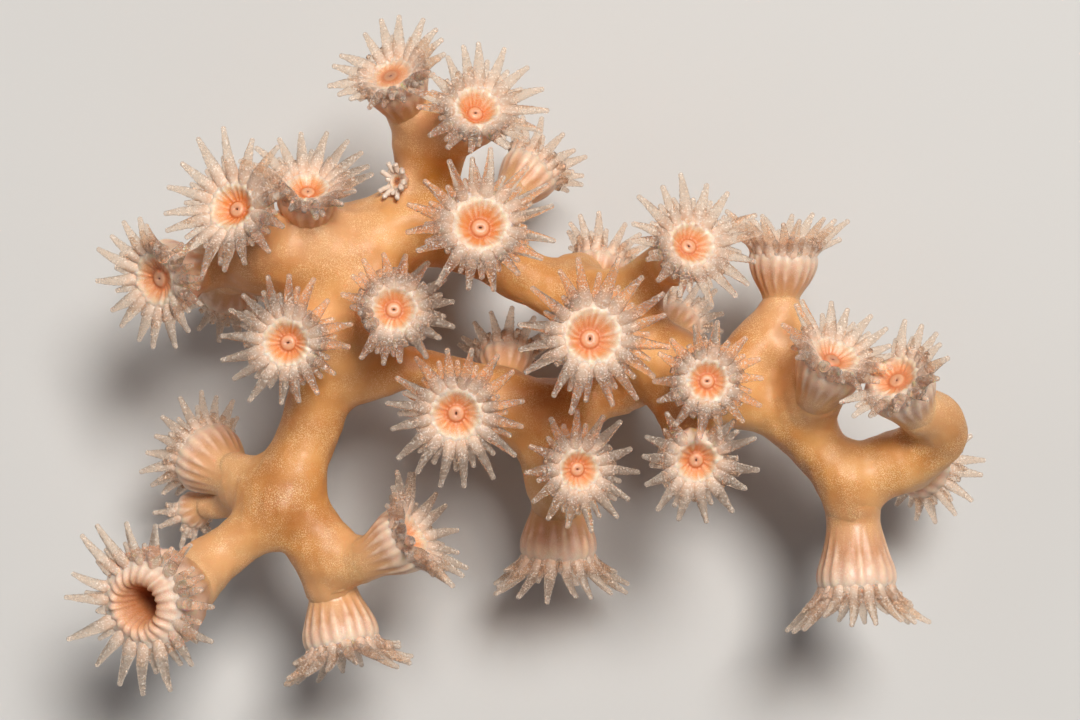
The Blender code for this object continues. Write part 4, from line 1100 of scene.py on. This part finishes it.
def cup_material():
    """Pinkish cup with pale ribs, a grainy rim, an orange throat and a pink mouth, with painted shade in the
    pore, in the groove round the mouth and down a dull funnel.
    """
    material, tree, shader, place = new_material("polyp_cup")
    scaled = mapped(tree, attribute(tree, "place"), 0.0, 2.0)
    paleness = attribute(tree, "paleness")
    pink, orange, dull = [ramp(tree, scaled, stops) for stops in (PINK_STOPS, ORANGE_STOPS, DULL_STOPS)]
    plain = mixed(tree, paleness, dull, mixed(tree, attribute(tree, "warmth"), pink, orange))
    uneven = product(tree, patches(tree, place, 0.8, 3.0, 0.35, 0.6, 0.4, 1.0),
                     mapped(tree, paleness, 0.0, 1.0, 0.35, 1.0))
    raised = product(tree, mapped(tree, attribute(tree, "ridge"), 0.12, 0.7), uneven)
    tone = mixed(tree, raised, plain, ramp(tree, scaled, CREST_STOPS))
    on_rim = ramp(tree, scaled, RIM_STOPS)
    blotches = patches(tree, place, 0.6, 3.0, 0.46, 0.66, 0.0, 0.7)
    tone = mixed(tree, product(tree, blotches, on_rim), tone, BLOTCH)
    granules = product(tree, patches(tree, place, 0.075, 1.0, 0.52, 0.68), on_rim)
    granules = product(tree, granules, patches(tree, place, 1.6, 2.0, 0.4, 0.62, 0.35, 1.0))
    tone = mixed(tree, granules, tone, GRANULE)
    skin, _ = skin_tone(tree, place)
    tone = mixed(tree, mapped(tree, attribute(tree, "bare"), 0.05, 0.9), skin, tone)
    surface = bumps(tree, [(noise(tree, place, 0.35), 0.5, 0.06), (granules, 0.5, 0.04)])
    fill(tree, shader, Base_Color=tone, Roughness=0.42, Coat_Weight=0.12, Coat_Roughness=0.25,
         **flesh(0.35, 1.0), Normal=surface)
    return material


def tentacle_material():
    """Clear warm flesh with pale warts and flecks, milky at the root and a little paler at the tip."""
    material, tree, shader, place = new_material("tentacle_flesh")
    along = attribute(tree, "place")
    tip = mapped(tree, along, 0.88, 0.98, 0.0, 0.4)
    root = mapped(tree, along, 0.2, 0.55, 1.0, 0.0)
    wart = mixed(tree, 0.65, mapped(tree, attribute(tree, "ridge"), 0.4, 0.9),
                 patches(tree, place, 0.17, 1.0, 0.59, 0.65))
    tone = mixed(tree, noise(tree, place, 1.2), *BODY)
    tone = mixed(tree, tip, tone, TIP_TONE)
    tone = mixed(tree, root, tone, mixed(tree, patches(tree, place, 0.5, 3.0, 0.35, 0.65), *ROOT))
    tone = mixed(tree, wart, tone, WART)
    clear = mixed(tree, wart, CLEAR_BODY, CLEAR_WART)
    clear = mixed(tree, tip, clear, CLEAR_TIP)
    clear = mixed(tree, root, clear, CLEAR_ROOT)
    clear = mixed(tree, attribute(tree, "warmth"), clear, CLEAR_BUD)
    fill(tree, shader, Base_Color=tone, Transmission_Weight=clear, Roughness=0.22, IOR=1.06,
         Sheen_Weight=0.3, Sheen_Roughness=0.3, Normal=bumps(tree, [(noise(tree, place, 0.2), 0.4, 0.03)]))
    return material


def floor_material():
    material, tree, shader, place = new_material("studio_floor")
    fill(tree, shader, Roughness=0.9,
         Base_Color=mixed(tree, noise(tree, place, 60.0), (0.60, 0.59, 0.575), (0.63, 0.62, 0.605)))
    return material


# The studio, in metres and watts
FLOOR_HALF = 2.0
CENTRE = (0.0184, -0.0058, 0.02)
CAMERA_PLACE = (0.0184, -0.0058, 0.290)
LENS = 100.0
SENSOR = 36.0
NEAREST_SEEN = 0.01
SKY = (0.9, 0.93, 1.0)
SKY_STRENGTH = 0.08
LAMPS = [  # name, place, size, power and colour
    ("key_light", (0.19, 0.31, 0.83), 0.3, 8.7, (1.0, 0.97, 0.93)),
    ("fill_light", (-0.62, 0.18, 0.60), 0.6, 0.8, (1.0, 1.0, 1.0)),
    ("low_light", (0.45, -0.64, 0.34), 0.6, 0.5, (1.0, 1.0, 1.0)),
]


def build_studio():
    """A pale floor, soft lights and the camera straight above the colony."""
    mesh = bpy.data.meshes.new("studio_floor")
    corners = [(FLOOR_HALF * x, FLOOR_HALF * y, 0.0) for x, y in ((-1, -1), (1, -1), (1, 1), (-1, 1))]
    mesh.from_pydata(corners, [], [(0, 1, 2, 3)])
    mesh.materials.append(floor_material())
    placed("studio_floor", mesh)

    for name, place, size, power, colour in LAMPS:
        data = bpy.data.lights.new(name, "AREA")
        data.shape = "DISK"
        data.size = size
        data.energy = power
        data.color = colour
        towards = Vector(CENTRE) - Vector(place)
        placed(name, data, place).rotation_euler = towards.to_track_quat("-Z", "Y").to_euler()

    scene = bpy.context.scene
    scene.world = bpy.data.worlds.new("studio_world")
    scene.world.use_nodes = True
    tree = scene.world.node_tree
    fill(tree, tree.nodes["Background"], Color=SKY, Strength=SKY_STRENGTH)
    scene.view_settings.view_transform = "Standard"

    data = bpy.data.cameras.new("camera")
    data.lens = LENS
    data.sensor_width = SENSOR
    data.clip_start = NEAREST_SEEN
    scene.camera = placed("camera", data, CAMERA_PLACE)


def build_colony():
    """Make the skin and all the polyps."""
    routes = {}
    all_skin = Skin()
    for name, route in BRANCHES.items():
        all_skin.add(name, smooth_route(route))
    for polyp in POLYPS:
        route, balls = cup_route(polyp)
        routes[polyp.name] = route
        all_skin.add(polyp.name, np.vstack([route, balls]))

    field = skin_field(routes)
    build_skin(field, [skin_material()])
    materials = [cup_material(), tentacle_material()]
    tentacles = Skin()
    for number, polyp in enumerate(POLYPS):
        build_polyp(polyp, number, routes[polyp.name], field, all_skin, tentacles, materials)


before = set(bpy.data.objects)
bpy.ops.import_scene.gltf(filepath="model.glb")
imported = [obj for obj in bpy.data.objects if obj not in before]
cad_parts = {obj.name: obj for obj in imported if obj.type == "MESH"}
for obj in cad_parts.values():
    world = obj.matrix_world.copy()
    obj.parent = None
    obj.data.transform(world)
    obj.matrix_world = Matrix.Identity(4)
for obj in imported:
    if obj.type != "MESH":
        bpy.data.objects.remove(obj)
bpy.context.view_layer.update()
build_studio()
build_colony()
